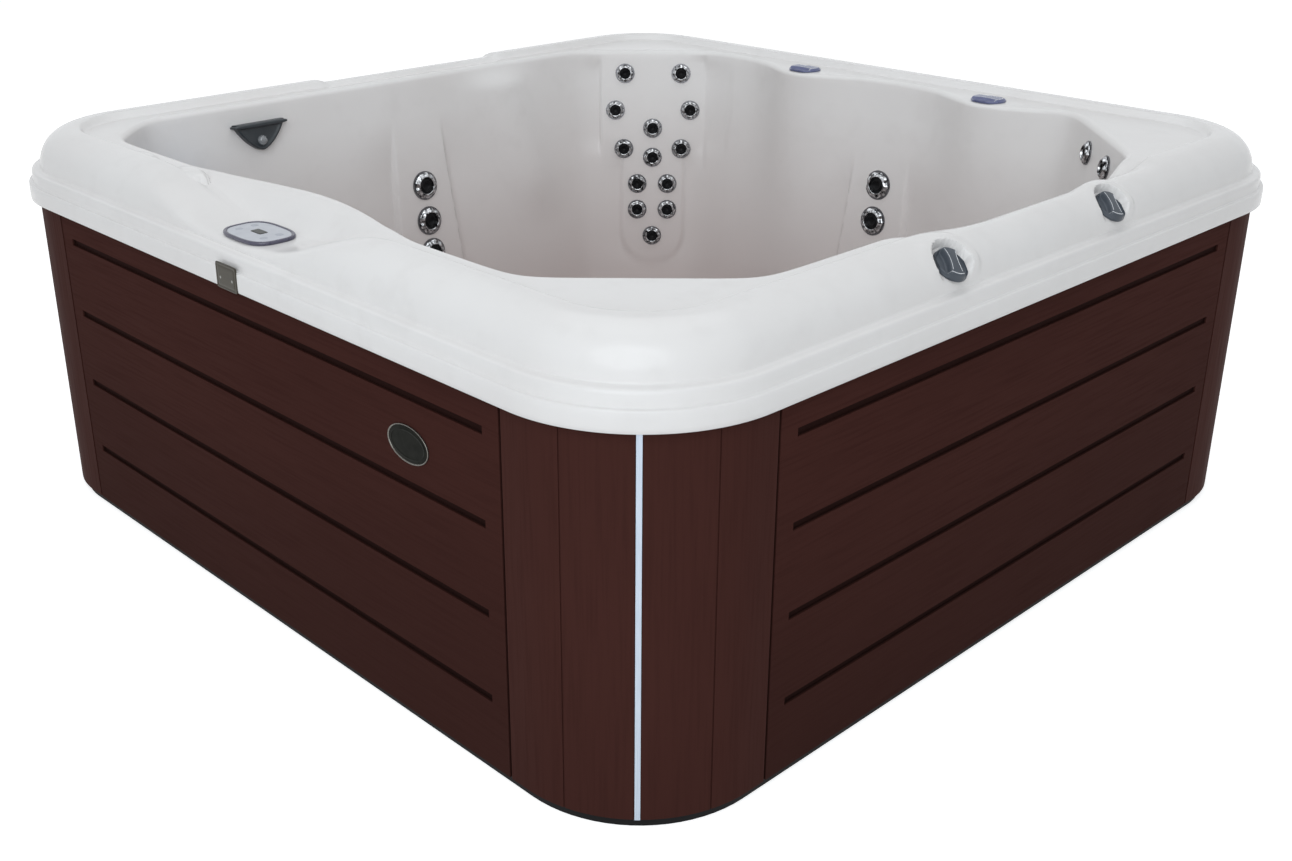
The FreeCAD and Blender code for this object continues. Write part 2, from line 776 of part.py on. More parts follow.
def make_lock_and_badge():
    """Cover lock plate let into the front lip, its two screws, and the badge plate on the front panel."""
    lip_y = "-cabinet_side / 2 - rim_overhang"
    lock_edge = "lock_x - lock_width / 2"
    plate = block("lock_blank", "lock_width", "lock_thick", "lock_height", lock_edge, lip_y, "lock_bottom")
    turn = Rotation(Vector(1, 0, 0), -90)
    spots = [Placement(lock_screw_spot(sign), turn) for sign in (-1, 1)]
    hole = "screw_radius + screw_gap"
    holes = [rod(f"lock_hole_{n}", hole, "lock_thick", spot) for n, spot in enumerate(spots)]
    keep(cut("lock_plate", plate, joined("lock_holes", holes)), "lock_plate")
    screws = [rod(f"lock_screw_{n}", "screw_radius", "shell_wall", spot) for n, spot in enumerate(spots)]
    group(screws, "lock_screws")
    middle = Vector(size("badge_x"), -size("cabinet_side") / 2, size("badge_z"))
    face = Placement(middle, Rotation(Vector(1, 0, 0), 90))
    keep(oval("badge_plate", "badge_long", "badge_short", "badge_thick", face), "badge_plate")


def make_knob(label, radius, height, sink, place):
    """Knob with a chamfered edge, a grip bar across its top and a stem that runs down into its valve."""
    rim = "grip_height"
    low = f"knob_lift - {sink}"
    top = f"{low} + {height} - {rim}"
    stem = "stem_radius - stem_gap"
    reach = f"{low} - shell_wall - dish_wall - stem_depth"
    corners = [("0", reach), (stem, reach), (stem, low), (radius, low), (radius, f"{top} - {rim}"),
               (f"{radius} - {rim}", top), ("0", top)]
    body = turned_body(label, corners)
    bar = body.newObject("PartDesign::Pad", f"{label}_grip")
    half, wide = f"({radius} - {rim})", "(grip_width / 2)"
    bar.Profile = polygon_sketch(body, "XY_Plane", f"{label}_bar",
                                 [(f"-{half} * 0.9", f"-{wide}"), (f"{half} * 0.9", f"-{wide}"),
                                  (f"{half} * 0.9", wide), (f"-{half} * 0.9", wide)])
    bind(bar, Length=f"{low} + {height}")
    doc.recompute()
    body.Placement = place
    keep(body, label)


def make_valve(label, radius, height, place):
    """Valve body that hangs under the shell, bored for the knob's stem."""
    bore_end = "-stem_depth - shell_wall - dish_wall"
    body = turned_body(label, [("stem_radius", "0"), (radius, "0"), (radius, f"-{height}"),
                               ("0", f"-{height}"), ("0", bore_end), ("stem_radius", bore_end)])
    body.Placement = place
    return body


def make_knobs():
    """Air knobs in their dishes, diverter knobs over the pilasters, and the valves that they turn."""
    air = air_knob_places()
    for label, place in zip(("air_knob_front", "air_knob_back"), air):
        make_knob(label, "air_knob_radius", "air_knob_height", "dish_depth", place)
    for label, place in zip(("diverter_knob_left", "diverter_knob_right"), diverter_places()):
        make_knob(label, "diverter_radius", "diverter_height", "0", place)
    under = size("dish_depth") + size("dish_wall")
    for kind, places, depth in (("air", air, under), ("diverter", diverter_places(), size("shell_wall"))):
        sizes = (f"{kind}_valve_radius", f"{kind}_valve_height")
        hung = [along(place, -depth) for place in places]
        valves = [make_valve(f"{kind}_valve_{n}", *sizes, place) for n, place in enumerate(hung)]
        group(valves, f"{kind}_valves")


def jet_body(name, kind, place):
    """Jet body: a flange on the wet side of the wall and a barrel behind it with a blind bore."""
    bore, barrel, flange = f"{kind}_bore", f"({kind}_barrel - jet_gap)", f"{kind}_flange"
    end = "-jet_stub - 2 * jet_flange_thick"
    body = turned_body(name, [(bore, "jet_flange_thick"), (flange, "jet_flange_thick"), (flange, "0"),
                              (barrel, "0"), (barrel, "-jet_body_depth"), ("0", "-jet_body_depth"),
                              ("0", end), (bore, end)])
    body.Placement = place
    return body


def make_jet_face(label, kind, place):
    """Jet face: a domed bezel round a recessed nozzle, on a stub that turns in the body's bore."""
    low = "jet_flange_thick + jet_gap"
    top = f"{low} + jet_face_height"
    stub, bezel, nozzle = f"({kind}_bore - jet_run_gap)", f"{kind}_bezel", f"{kind}_nozzle"
    step = "jet_flange_thick"
    body = turned_body(label, [("0", "-jet_stub"), (stub, "-jet_stub"), (stub, low), (bezel, low),
                               (bezel, f"{low} + {step}"), (f"{bezel} - 2 * {step}", top), (nozzle, top),
                               (f"{nozzle} - {step}", f"{low} + {step}"), ("0", f"{low} + {step}")])
    body.Placement = place
    keep(body, label)


def make_jets():
    """Every jet's turning face as a part of its own, with the bodies of each kind as a group."""
    far, right = small_jet_places()
    left, back = large_jet_places()
    for kind, name, places in (("small", "far", far), ("small", "right", right), ("large", "left", left),
                               ("large", "back", back)):
        for number, place in enumerate(places, start=1):
            make_jet_face(f"jet_{name}_{number}", kind, place)
    for kind, places in (("small", far + right), ("large", left + back)):
        bodies = [jet_body(f"{kind}_jet_body_{n}", kind, place) for n, place in enumerate(places)]
        group(bodies, f"jet_bodies_{kind}")


def make_spout():
    """Three-cornered spout under the left rim, with a bar along its top and a clear lens near its tip."""
    body = doc.addObject("PartDesign::Body", "waterfall_spout")
    plate = body.newObject("PartDesign::Pad", "spout_plate")
    plate.Profile = polygon_sketch(body, "XY_Plane", "spout_outline",
                                   [("-spout_half", "0"), ("-spout_tip", "-spout_drop"),
                                    ("spout_tip", "-spout_drop"), ("spout_half", "0")])
    bind(plate, Length="spout_depth")
    doc.recompute()
    bar = body.newObject("PartDesign::Pad", "spout_bar_pad")
    bar.Profile = polygon_sketch(body, "XY_Plane", "spout_bar_outline",
                                 [("-spout_half", "-spout_bar"), ("spout_half", "-spout_bar"),
                                  ("spout_half", "0"), ("-spout_half", "0")])
    bind(bar, Length="spout_depth + spout_bar_proud")
    doc.recompute()
    body.Placement = spout_place()
    keep(body, "waterfall_spout")
    low, mid, high = "spout_depth", "spout_depth + lens_height / 2", "spout_depth + lens_height"
    lens = turned_body("spout_lens", [("0", low), ("lens_radius", low), ("lens_radius", mid),
                                      ("lens_radius / 2", high), ("0", high)])
    lens.Placement = spout_place().multiply(Placement(Vector(0, -size("lens_drop"), 0), Rotation()))
    keep(lens, "spout_lens")


def make_water_fittings():
    """Filter cartridge in its niche, suction covers on the footwell wall and the drain in its floor."""
    neck = "filter_radius - filter_neck"
    handle = "filter_height + filter_handle"
    cartridge = turned_body("filter_cartridge", [("0", "0"), ("filter_radius", "0"),
                                                 ("filter_radius", "filter_height"), (neck, "filter_height"),
                                                 (neck, handle), ("0", handle)])
    spot = -size("filter_place")
    cartridge.Placement = Placement(Vector(spot, spot, size("seat_top")), Rotation())
    keep(cartridge, "filter_cartridge")
    covers = []
    for number, place in enumerate(suction_places()):
        cover = turned_body(f"suction_cover_{number}",
                            [("0", "0"), ("suction_radius", "0"), ("suction_radius", "suction_height / 3"),
                             ("suction_radius - suction_height", "suction_height"), ("0", "suction_height")])
        cover.Placement = place
        covers.append(cover)
    group(covers, "suction_covers")
    drain = turned_body("floor_drain", [("0", "0"), ("drain_radius", "0"),
                                        ("drain_radius - drain_height", "drain_height"),
                                        ("0", "drain_height")])
    drain.Placement = Placement(Vector(0, 0, footwell_floor), Rotation())
    keep(drain, "floor_drain")


def pipe(label, points):
    """Pipe along straight runs joined by tangent arcs of the pipe's bend radius."""
    bend = size("pipe_bend")
    edges = []
    start = points[0]
    for before, corner, after in zip(points, points[1:], points[2:]):
        to_corner = (corner - before).normalize()
        onward = (after - corner).normalize()
        turn = to_corner.getAngle(onward)
        back = bend * math.tan(turn / 2)
        first, last = corner - to_corner * back, corner + onward * back
        middle = corner + (onward - to_corner).normalize() * (bend / math.cos(turn / 2) - bend)
        edges += [Part.LineSegment(start, first).toShape(), Part.Arc(first, middle, last).toShape()]
        start = last
    edges.append(Part.LineSegment(start, points[-1]).toShape())
    path = Part.Wire(edges)
    direction = (points[1] - points[0]).normalize()
    walls = []
    for radius in (size("pipe_radius"), size("pipe_radius") - size("pipe_wall")):
        ring = Part.Wire(Part.makeCircle(radius, points[0], direction))
        walls.append(path.makePipeShell([ring], True, True))
    shape_node(walls[0].cut(walls[1]), label)


def make_equipment():
    """Pump, heater, control box and the pipes between them, on the base pan under the front seat."""
    z, y = size("equipment_z"), size("pump_y")
    joint = size("pump_x")
    axis = Placement(Vector(joint, y, z), Rotation(Vector(0, 1, 0), 90))
    bore_end = "-shaft_depth - jet_gap"
    motor = turned_body("motor_barrel", [("shaft_radius", "0"), ("motor_radius", "0"),
                                         ("motor_radius", "-motor_length"), ("0", "-motor_length"),
                                         ("0", bore_end), ("shaft_radius", bore_end)])
    motor.Placement = axis
    foot_height = "equipment_z - pan_floor - motor_radius / 2"
    foot = block("motor_foot", "motor_length * 0.6", "foot_width", foot_height,
                 "pump_x - motor_length * 0.8", "pump_y - foot_width / 2", "pan_floor")
    keep(joined("pump_motor", [motor, foot]), "pump_motor")

    wall = "wet_end_wall"
    chamber = f"(wet_end_radius - {wall})"
    wet_end = turned_body("wet_end_case", [("shaft_radius + jet_gap", "0"), ("wet_end_radius", "0"),
                                           ("wet_end_radius", "wet_end_length"),
                                           ("pipe_radius", "wet_end_length"),
                                           ("pipe_radius", f"wet_end_length - {wall}"),
                                           (chamber, f"wet_end_length - {wall}"), (chamber, wall),
                                           ("shaft_radius + jet_gap", wall)])
    wet_end.Placement = axis
    middle = Vector(joint + size("wet_end_length") / 2, y, z)
    sideways = Placement(middle, Rotation(Vector(1, 0, 0), 90))
    outlet = rod("wet_end_outlet", "pipe_radius", "wet_end_radius", sideways)
    keep(cut("pump_wet_end", wet_end, outlet), "pump_wet_end")

    mid = "wet_end_length / 2"
    back, front = f"{mid} - impeller_thick / 2", f"{mid} + impeller_thick / 2"
    shaft = "shaft_radius - shaft_gap"
    impeller = turned_body("pump_impeller", [("0", "-shaft_depth"), (shaft, "-shaft_depth"),
                                             (shaft, back), ("impeller_radius", back),
                                             ("impeller_radius", mid), ("2 * shaft_radius", front),
                                             ("0", front)])
    impeller.Placement = axis
    keep(impeller, "pump_impeller")

    hx, hy = size("heater_x"), size("heater_y")
    tube = turned_body("heater_tube", [("pipe_radius", "0"), ("heater_radius", "0"),
                                       ("heater_radius", "heater_length"), ("pipe_radius", "heater_length")])
    tube.Placement = Placement(Vector(hx, hy, z), Rotation(Vector(0, 1, 0), 90))
    bore = rod("heater_bore", "pipe_radius", "heater_length", tube.Placement)
    saddles = [block(f"heater_saddle_{n}", "timber_thick", "heater_radius", "equipment_z - pan_floor",
                     f"heater_x + heater_length * {share}", "heater_y - heater_radius / 2", "pan_floor")
               for n, share in enumerate((0.15, 0.7))]
    keep(cut("heater", joined("heater_solid", [tube, *saddles]), bore), "heater")

    box_sizes = ("control_box_length", "control_box_width", "control_box_height")
    box_corner = ("control_box_x", "pump_y - control_box_width / 2", "pan_floor")
    keep(block("control_box", *box_sizes, *box_corner), "control_box")

    wall_back = along(suction_places()[1], -size("shell_wall")).Base
    pipe("suction_pipe", [Vector(joint + size("wet_end_length"), y, z), Vector(wall_back.x, y, z), wall_back])
    outlet_end = middle - Vector(0, size("wet_end_radius"), 0)
    pipe("pressure_pipe", [outlet_end, Vector(middle.x, hy, z), Vector(hx, hy, z)])
    end = hx + size("heater_length")
    riser = size("riser_x")
    pipe("return_pipe", [Vector(end, hy, z), Vector(riser, hy, z), Vector(riser, hy, size("riser_top"))])


make_shell()
make_base_pan()
make_timber_frame()
PANELS = ("front_panel", "right_panel", "back_panel", "left_panel")
for panel_label, panel_turn in zip(PANELS, SQUARE):
    make_panel(panel_label, panel_turn)
make_corners()
make_control_panel()
make_lock_and_badge()
make_knobs()
make_jets()
make_spout()
make_water_fittings()
make_equipment()
doc.recompute()

for thing in doc.Objects:
    if "Invalid" in thing.State or "Error" in thing.State:
        raise RuntimeError(f"{thing.Label} failed: {thing.State}")
for thing in nodes:
    if thing.Shape.isNull() or not thing.Shape.isValid():
        raise RuntimeError(f"{thing.Label} has no valid shape")

os.makedirs("parts", exist_ok=True)
for thing in nodes:
    thing.Shape.exportStep(f"parts/{thing.Label}.step")
    print(f"{thing.Label}: {len(thing.Shape.Solids)} solids, {thing.Shape.Volume / 1000:.0f} cm3")
print(len(nodes), "nodes")
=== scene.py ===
"""Looks of a square hot tub: pearl shell, grooved cabinet, chrome jets, knobs, control panel and water fittings.

Sizes are in millimetres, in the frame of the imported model: the origin on the floor under the middle of the tub,
+Z up and the front with the control panel towards -Y. The mesh maker writes metres.
"""

import logging
import math
from dataclasses import dataclass, field
from enum import Enum
from functools import lru_cache
from typing import Sequence

import bpy
import numpy as np
from mathutils import Matrix


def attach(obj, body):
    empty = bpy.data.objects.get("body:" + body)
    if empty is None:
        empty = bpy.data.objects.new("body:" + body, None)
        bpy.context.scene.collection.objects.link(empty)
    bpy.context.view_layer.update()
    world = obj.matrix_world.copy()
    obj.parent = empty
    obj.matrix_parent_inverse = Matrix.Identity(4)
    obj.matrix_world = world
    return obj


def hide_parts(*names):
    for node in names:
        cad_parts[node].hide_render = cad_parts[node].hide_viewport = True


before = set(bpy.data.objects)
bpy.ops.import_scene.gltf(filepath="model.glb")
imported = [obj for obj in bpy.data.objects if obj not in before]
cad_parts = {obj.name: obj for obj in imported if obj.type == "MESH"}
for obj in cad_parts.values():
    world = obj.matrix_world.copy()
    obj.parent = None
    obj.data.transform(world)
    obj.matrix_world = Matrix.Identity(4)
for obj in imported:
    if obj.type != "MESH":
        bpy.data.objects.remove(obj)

Array = np.ndarray
Colour = tuple[float, float, float]
MM = 0.001
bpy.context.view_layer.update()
LOG = logging.getLogger("hot_tub")

# Parts of a noise's range that carry a finish from its colour to its clouds, and from glossy to dull.
CLOUD_BAND = (0.35, 0.65)
GLOSS_BAND = (0.3, 0.7)


class Axis(Enum):
    """Direction that a grain or a brushed finish runs along."""

    X = 0
    Y = 1
    Z = 2


# Shapes


def smoothstep(value: Array) -> Array:
    """Ease from 0 to 1 as the value goes from 0 to 1: three times its square less twice its cube."""
    share = np.clip(value, 0.0, 1.0)
    return share * share * (3.0 - 2.0 * share)


def ramp(value: Array, start: float, end: float) -> Array:
    """Ease from 0 where the value is at the start to 1 where it is at the end."""
    return smoothstep((value - start) / (end - start))


def soft_min(first: Array, second: Array, width: float) -> Array:
    """Smaller of two arrays with the corner between them rounded over a width."""
    share = np.clip(0.5 + 0.5 * (second - first) / width, 0.0, 1.0)
    return second * (1.0 - share) + first * share - width * share * (1.0 - share)


def bell(value: Array, width: float, power: float = 2.0) -> Array:
    """Bell curve of height 1: the exponential of minus the scaled distance to a power."""
    return np.exp(-np.abs(value / width) ** power)


def softened(points: Sequence[tuple[float, float]], rounds: int = 2) -> Array:
    """Open profile with its corners cut.

    Each round replaces a corner by two points a quarter of the way along its sides.

    Args:
        points: corners of the profile.
        rounds: how often the corners are cut.

    Returns:
        The profile's points, with its two ends kept.
    """
    line = np.asarray(points, float)
    for _ in range(rounds):
        near = 0.75 * line[:-1] + 0.25 * line[1:]
        far = 0.25 * line[:-1] + 0.75 * line[1:]
        line = np.concatenate([line[:1], np.stack([near, far], 1).reshape(-1, 2), line[-1:]])
    return line


def rounded_square(angle: Array, half: Array, radius: Array) -> Array:
    """Distance from the middle to the edge of a square with round corners, by direction.

    A ray meets the flat at half over the larger of its cosine and sine, or else the corner's circle.

    Args:
        angle: directions.
        half: half the square's side.
        radius: corner radius.

    Returns:
        The distance along each direction.
    """
    c, s = np.abs(np.cos(angle)), np.abs(np.sin(angle))
    flat = half / np.maximum(c, s)
    centre = half - radius
    reach = centre * (c + s)
    arc = reach + np.sqrt(np.maximum(reach * reach - 2.0 * centre * centre + radius * radius, 0.0))
    return np.where(flat * np.minimum(c, s) > centre, arc, flat)


def soft_polygon(angle: Array, sides: Sequence[tuple[float, float]], shift: Array, softness: float) -> Array:
    """Distance from the middle to a polygon with soft corners, by direction.

    Each side gives the inverse distance cos(angle - side) / distance; the inverses are added as a power mean, which
    is the nearest side along the flats and rounds the corners.

    Args:
        angle: directions.
        sides: each side's outward direction in degrees and its distance.
        shift: how far all sides are moved out.
        softness: power of the mean; a larger one gives sharper corners.

    Returns:
        The distance along each direction.
    """
    turn = np.radians([side[0] for side in sides])
    distance = np.array([side[1] for side in sides]) + np.asarray(shift)[..., None]
    inverse = np.maximum(np.cos(angle[..., None] - turn), 0.0) * 1000.0 / distance
    return 1000.0 / np.sum(inverse ** softness, -1) ** (1.0 / softness)


def polar(radius: Array, angle: Array, height: Array) -> Array:
    """Points at a distance and direction from the tub's axis, and at a height."""
    flat = np.broadcast_arrays(radius * np.cos(angle), radius * np.sin(angle), height)
    return np.stack(flat, -1)


def turned(profile: Array, columns: int, ripple: Array | float = 0.0, lift: Array | float = 0.0) -> Array:
    """Surface of revolution: each (radius, height) of a profile is carried round the axis.

    Args:
        profile: rows of radius and height.
        columns: steps round the axis.
        ripple: added to the radius, by row and column.
        lift: added to the height, by row and column.

    Returns:
        Points by row and column.
    """
    angle = np.linspace(0.0, 2.0 * np.pi, columns, endpoint=False)[None]
    return polar(profile[:, :1] + ripple, angle, profile[:, 1:] + lift)


def oval_ring(profile: Array, long: float, short: float, columns: int, squareness: float = 2.0) -> Array:
    """Profile carried round an oval: each (inset, height) is taken in from the oval's half axes.

    The oval's point at an angle is the half axes times the cosine and sine raised to 2 / squareness.

    Args:
        profile: rows of inset and height.
        long: half the oval's length.
        short: half the oval's width.
        columns: steps round the oval.
        squareness: 2 for an ellipse, more for a squarer oval.

    Returns:
        Points by row and column.
    """
    angle = np.linspace(0.0, 2.0 * np.pi, columns, endpoint=False)[None]
    power = 2.0 / squareness
    c = np.sign(np.cos(angle)) * np.abs(np.cos(angle)) ** power
    s = np.sign(np.sin(angle)) * np.abs(np.sin(angle)) ** power
    x, y = (long - profile[:, :1]) * c, (short - profile[:, :1]) * s
    return np.stack(np.broadcast_arrays(x, y, profile[:, 1:]), -1)


def grid_normals(points: Array) -> Array:
    """Unit normals of a grid that is closed along its columns: the cross product of its two steps.

    Args:
        points: rows by columns by three.

    Returns:
        A unit normal for each point.
    """
    round_step = np.roll(points, -1, 1) - np.roll(points, 1, 1)
    row_step = np.gradient(points, axis=0)
    normal = np.cross(round_step, row_step)
    return normal / np.maximum(np.linalg.norm(normal, axis=-1, keepdims=True), 1e-9)


@dataclass(frozen=True)
class Place:
    """Where a piece sits: a point and three unit directions."""

    origin: Array
    across: Array
    up: Array
    out: Array

    def put(self, points: Array) -> Array:
        """Points given along across, up and out, in the tub's frame."""
        return self.origin + points[..., :1] * self.across + points[..., 1:2] * self.up + points[..., 2:] * self.out

    @staticmethod
    def level(x: float, y: float, z: float) -> "Place":
        """Place that isn't turned."""
        return Place(np.array([x, y, z]), *np.eye(3))


# Meshes


class MeshMaker:
    """Gathers grids of points into one closed mesh and makes it a piece of the tub."""

    def __init__(self, name: str) -> None:
        """Start an empty mesh with the piece's name.

        Args:
            name: the piece's name.
        """
        self.name = name
        self.points: list[Array] = []
        self.quads: list[Array] = []
        self.triangles: list[Array] = []
        self.count = 0

    def add(self, points: Array, ring: bool = False, cap_first: bool = False, cap_last: bool = False) -> None:
        """Add a grid that is closed along its columns.

        Args:
            points: rows by columns by three.
            ring: the last row joins the first.
            cap_first: a point in the middle closes the first row.
            cap_last: a point in the middle closes the last row.
        """
        rows, columns = points.shape[:2]
        start = self.count
        i, j = np.meshgrid(np.arange(rows if ring else rows - 1), np.arange(columns), indexing="ij")
        k, m = (i + 1) % rows, (j + 1) % columns
        corners = [i * columns + j, i * columns + m, k * columns + m, k * columns + j]
        self.quads.append(np.stack(corners, -1).reshape(-1, 4) + start)
        self.points.append(points.reshape(-1, 3))
        self.count += rows * columns
        column = np.arange(columns)
        for wanted, row, order in ((cap_first, 0, 1), (cap_last, rows - 1, -1)):
            if wanted:
                edge = np.stack([column + row * columns, np.roll(column, -1) + row * columns], -1)[:, ::order] + start
                middle = np.full((columns, 1), self.count)
                self.triangles.append(np.concatenate([edge[:, ::-1], middle], 1))
                self.points.append(points[row].mean(0, keepdims=True))
                self.count += 1

    def piece(self, finish: "Finish", body: str, replaces: Sequence[str] = (), slot: str = "",
              sharp: float = 180.0) -> bpy.types.Object:
        """Make the mesh an object that rides on a body.

        Args:
            finish: the piece's finish.
            body: body that it rides on.
            replaces: nodes that it stands for.
            slot: the record's material slot; not used.
            sharp: angle in degrees past which an edge isn't shaded smooth.

        Returns:
            The finished object.
        """
        points = np.concatenate(self.points) * MM
        quads = np.concatenate(self.quads)
        triangles = np.concatenate(self.triangles) if self.triangles else np.zeros((0, 3), int)
        halves = np.concatenate([quads[:, [0, 1, 2]], quads[:, [0, 2, 3]], triangles])
        a, b, c = (points[halves[:, n]] for n in range(3))
        if np.sum(a * np.cross(b, c)) < 0.0:
            quads, triangles = quads[:, ::-1], triangles[:, ::-1]
        mesh = bpy.data.meshes.new(self.name)
        corners = np.concatenate([quads.ravel(), triangles.ravel()]).astype(np.int32)
        starts = np.concatenate([np.arange(len(quads)) * 4, len(quads) * 4 + np.arange(len(triangles)) * 3])
        mesh.vertices.add(len(points))
        mesh.vertices.foreach_set("co", points.astype(np.float32).ravel())
        mesh.loops.add(len(corners))
        mesh.loops.foreach_set("vertex_index", corners)
        mesh.polygons.add(len(starts))
        mesh.polygons.foreach_set("loop_start", starts.astype(np.int32))
        mesh.update(calc_edges=True)
        mesh.shade_smooth()
        if sharp < 180.0:
            mesh.set_sharp_from_angle(angle=math.radians(sharp))
        mesh.materials.append(finish.material())
        thing = bpy.data.objects.new(self.name, mesh)
        bpy.context.scene.collection.objects.link(thing)
        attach(thing, body)
        if replaces:
            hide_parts(*replaces)
        LOG.info("%s: %d faces on %s", self.name, len(starts), body)
        return thing


# Finishes


class Nodes:
    """Short way to add nodes to one material and link them to its shader."""

    def __init__(self, name: str) -> None:
        """Start a material with one shader.

        Args:
            name: the material's name.
        """
        self.material = bpy.data.materials.new(name)
        self.material.use_nodes = True
        self.tree = self.material.node_tree
        self.shader = self.tree.nodes["Principled BSDF"]

    def add(self, kind: str, **settings: object) -> bpy.types.Node:
        """New node of a kind, with its settings.

        Args:
            kind: the node's type in Blender.
            settings: values to set on it.

        Returns:
            The node.
        """
        node = self.tree.nodes.new(kind)
        for name, value in settings.items():
            setattr(node, name, value)
        return node

    def link(self, start: bpy.types.NodeSocket, end: bpy.types.NodeSocket) -> None:
        """Link two sockets."""
        self.tree.links.new(start, end)

    def constant(self, values: dict[str, float | Sequence[float]]) -> None:
        """Set the shader's own sockets."""
        for name, value in values.items():
            self.shader.inputs[name].default_value = value

    def noise(self, scale: float, detail: float, stretch: Sequence[float] = (1.0, 1.0, 1.0)) -> bpy.types.NodeSocket:
        """Noise on the object's own coordinates, stretched along an axis.

        Args:
            scale: how fine the noise is.
            detail: how many finer layers it has.
            stretch: scales along the three axes.

        Returns:
            The noise's socket, from 0 to 1.
        """
        where = self.add("ShaderNodeTexCoord")
        mapping = self.add("ShaderNodeMapping")
        mapping.inputs["Scale"].default_value = stretch
        texture = self.add("ShaderNodeTexNoise")
        texture.inputs["Scale"].default_value = scale
        texture.inputs["Detail"].default_value = detail
        self.link(where.outputs["Object"], mapping.inputs["Vector"])
        self.link(mapping.outputs["Vector"], texture.inputs["Vector"])
        return texture.outputs["Fac"]

    def spread(self, value: bpy.types.NodeSocket, low: float, high: float, first: float,
               last: float) -> bpy.types.NodeSocket:
        """Value between low and high carried over to between first and last.

        Args:
            value: socket to carry over.
            low: value that gives the first number.
            high: value that gives the last number.
            first: number at the low value.
            last: number at the high value.

        Returns:
            The socket with the result.
        """
        node = self.add("ShaderNodeMapRange")
        for name, number in zip(("From Min", "From Max", "To Min", "To Max"), (low, high, first, last)):
            node.inputs[name].default_value = number
        self.link(value, node.inputs["Value"])
        return node.outputs["Result"]

    def blend(self, share: bpy.types.NodeSocket, first: object, last: object) -> bpy.types.NodeSocket:
        """Colour between two colours or colour sockets.

        Args:
            share: socket with the share of the last colour.
            first: colour at a share of 0.
            last: colour at a share of 1.

        Returns:
            The colour's socket.
        """
        node = self.add("ShaderNodeMix", data_type="RGBA")
        self.link(share, node.inputs[0])
        for number, colour in ((6, first), (7, last)):
            if isinstance(colour, tuple):
                node.inputs[number].default_value = (*colour, 1.0)
            else:
                self.link(colour, node.inputs[number])
        return node.outputs[2]

    def bump(self, height: bpy.types.NodeSocket, strength: float, distance: float) -> None:
        """Bump on the shader from a height, in metres.

        Args:
            height: socket with the height.
            strength: share of the full effect.
            distance: height of a full step, in metres.
        """
        node = self.add("ShaderNodeBump")
        node.inputs["Strength"].default_value = strength
        node.inputs["Distance"].default_value = distance
        self.link(height, node.inputs["Height"])
        self.link(node.outputs["Normal"], self.shader.inputs["Normal"])


@dataclass(frozen=True)
class Finish:
    """Moulded or cast finish: a colour with soft clouds in it, uneven gloss and a fine surface texture."""

    name: str
    colour: Colour
    cloud: Colour
    roughness: float
    metallic: float = 0.0
    coat: float = 0.0
    cloud_scale: float = 9.0
    texture_scale: float = 900.0
    texture_depth: float = 0.00004
    uneven: float = 0.06
    specular: float = 0.5

    def material(self) -> bpy.types.Material:
        """The finish's material, made once."""
        return made_material(self)

    def dress(self, nodes: Nodes) -> None:
        """Add the finish's nodes to its material.

        Args:
            nodes: the material's nodes.
        """
        nodes.constant({"Metallic": self.metallic, "Coat Weight": self.coat, "Coat Roughness": 0.08,
                        "Specular IOR Level": self.specular})
        clouds = nodes.spread(nodes.noise(self.cloud_scale, 4.0), *CLOUD_BAND, 0.0, 1.0)
        nodes.link(nodes.blend(clouds, self.colour, self.cloud), nodes.shader.inputs["Base Color"])
        gloss = nodes.spread(nodes.noise(self.cloud_scale * 4.0, 5.0), *GLOSS_BAND, self.roughness - self.uneven / 2,
                             self.roughness + self.uneven)
        nodes.link(gloss, nodes.shader.inputs["Roughness"])
        nodes.bump(nodes.noise(self.texture_scale, 3.0), 0.5, self.texture_depth)


@dataclass(frozen=True)
class PearlFinish(Finish):
    """Pearl acrylic: white with broad drifts, fine veins, a darker and warmer painted shade low in the shell, and a
    clear top.
    """

    vein: Colour = (0.80, 0.79, 0.78)
    # Painted shade low in the basin: a darker, warmer colour, blended in from the first height down to the second, in
    # metres.
    painted_shade: Colour = (0.60, 0.54, 0.525)
    painted_shade_from: float = 0.80
    painted_shade_to: float = 0.22
    index: float = 1.49

    def dress(self, nodes: Nodes) -> None:
        """Add the finish's nodes to its material.

        Args:
            nodes: the material's nodes.
        """
        nodes.constant({"Coat Weight": self.coat, "Coat Roughness": 0.06, "IOR": self.index,
                        "Specular IOR Level": self.specular})
        drift = nodes.spread(nodes.noise(self.cloud_scale, 6.0), 0.38, 0.62, 0.0, 1.0)
        veins = nodes.spread(nodes.noise(self.cloud_scale * 7.0, 8.0), 0.52, 0.74, 0.0, 0.5)
        base = nodes.blend(veins, nodes.blend(drift, self.colour, self.cloud), self.vein)
        where = nodes.add("ShaderNodeTexCoord")
        split = nodes.add("ShaderNodeSeparateXYZ")
        nodes.link(where.outputs["Object"], split.inputs["Vector"])
        # Painted shade: the colour darkens and warms from 0.80 m down to 0.22 m, for the shade deep in the basin.
        depth = nodes.spread(split.outputs["Z"], self.painted_shade_from, self.painted_shade_to, 0.0, 1.0)
        nodes.link(nodes.blend(depth, base, self.painted_shade), nodes.shader.inputs["Base Color"])
        gloss = nodes.spread(nodes.noise(self.cloud_scale * 3.0, 4.0), *GLOSS_BAND, self.roughness,
                             self.roughness + self.uneven)
        nodes.link(gloss, nodes.shader.inputs["Roughness"])
        nodes.bump(nodes.noise(self.texture_scale, 2.0), 0.25, self.texture_depth)


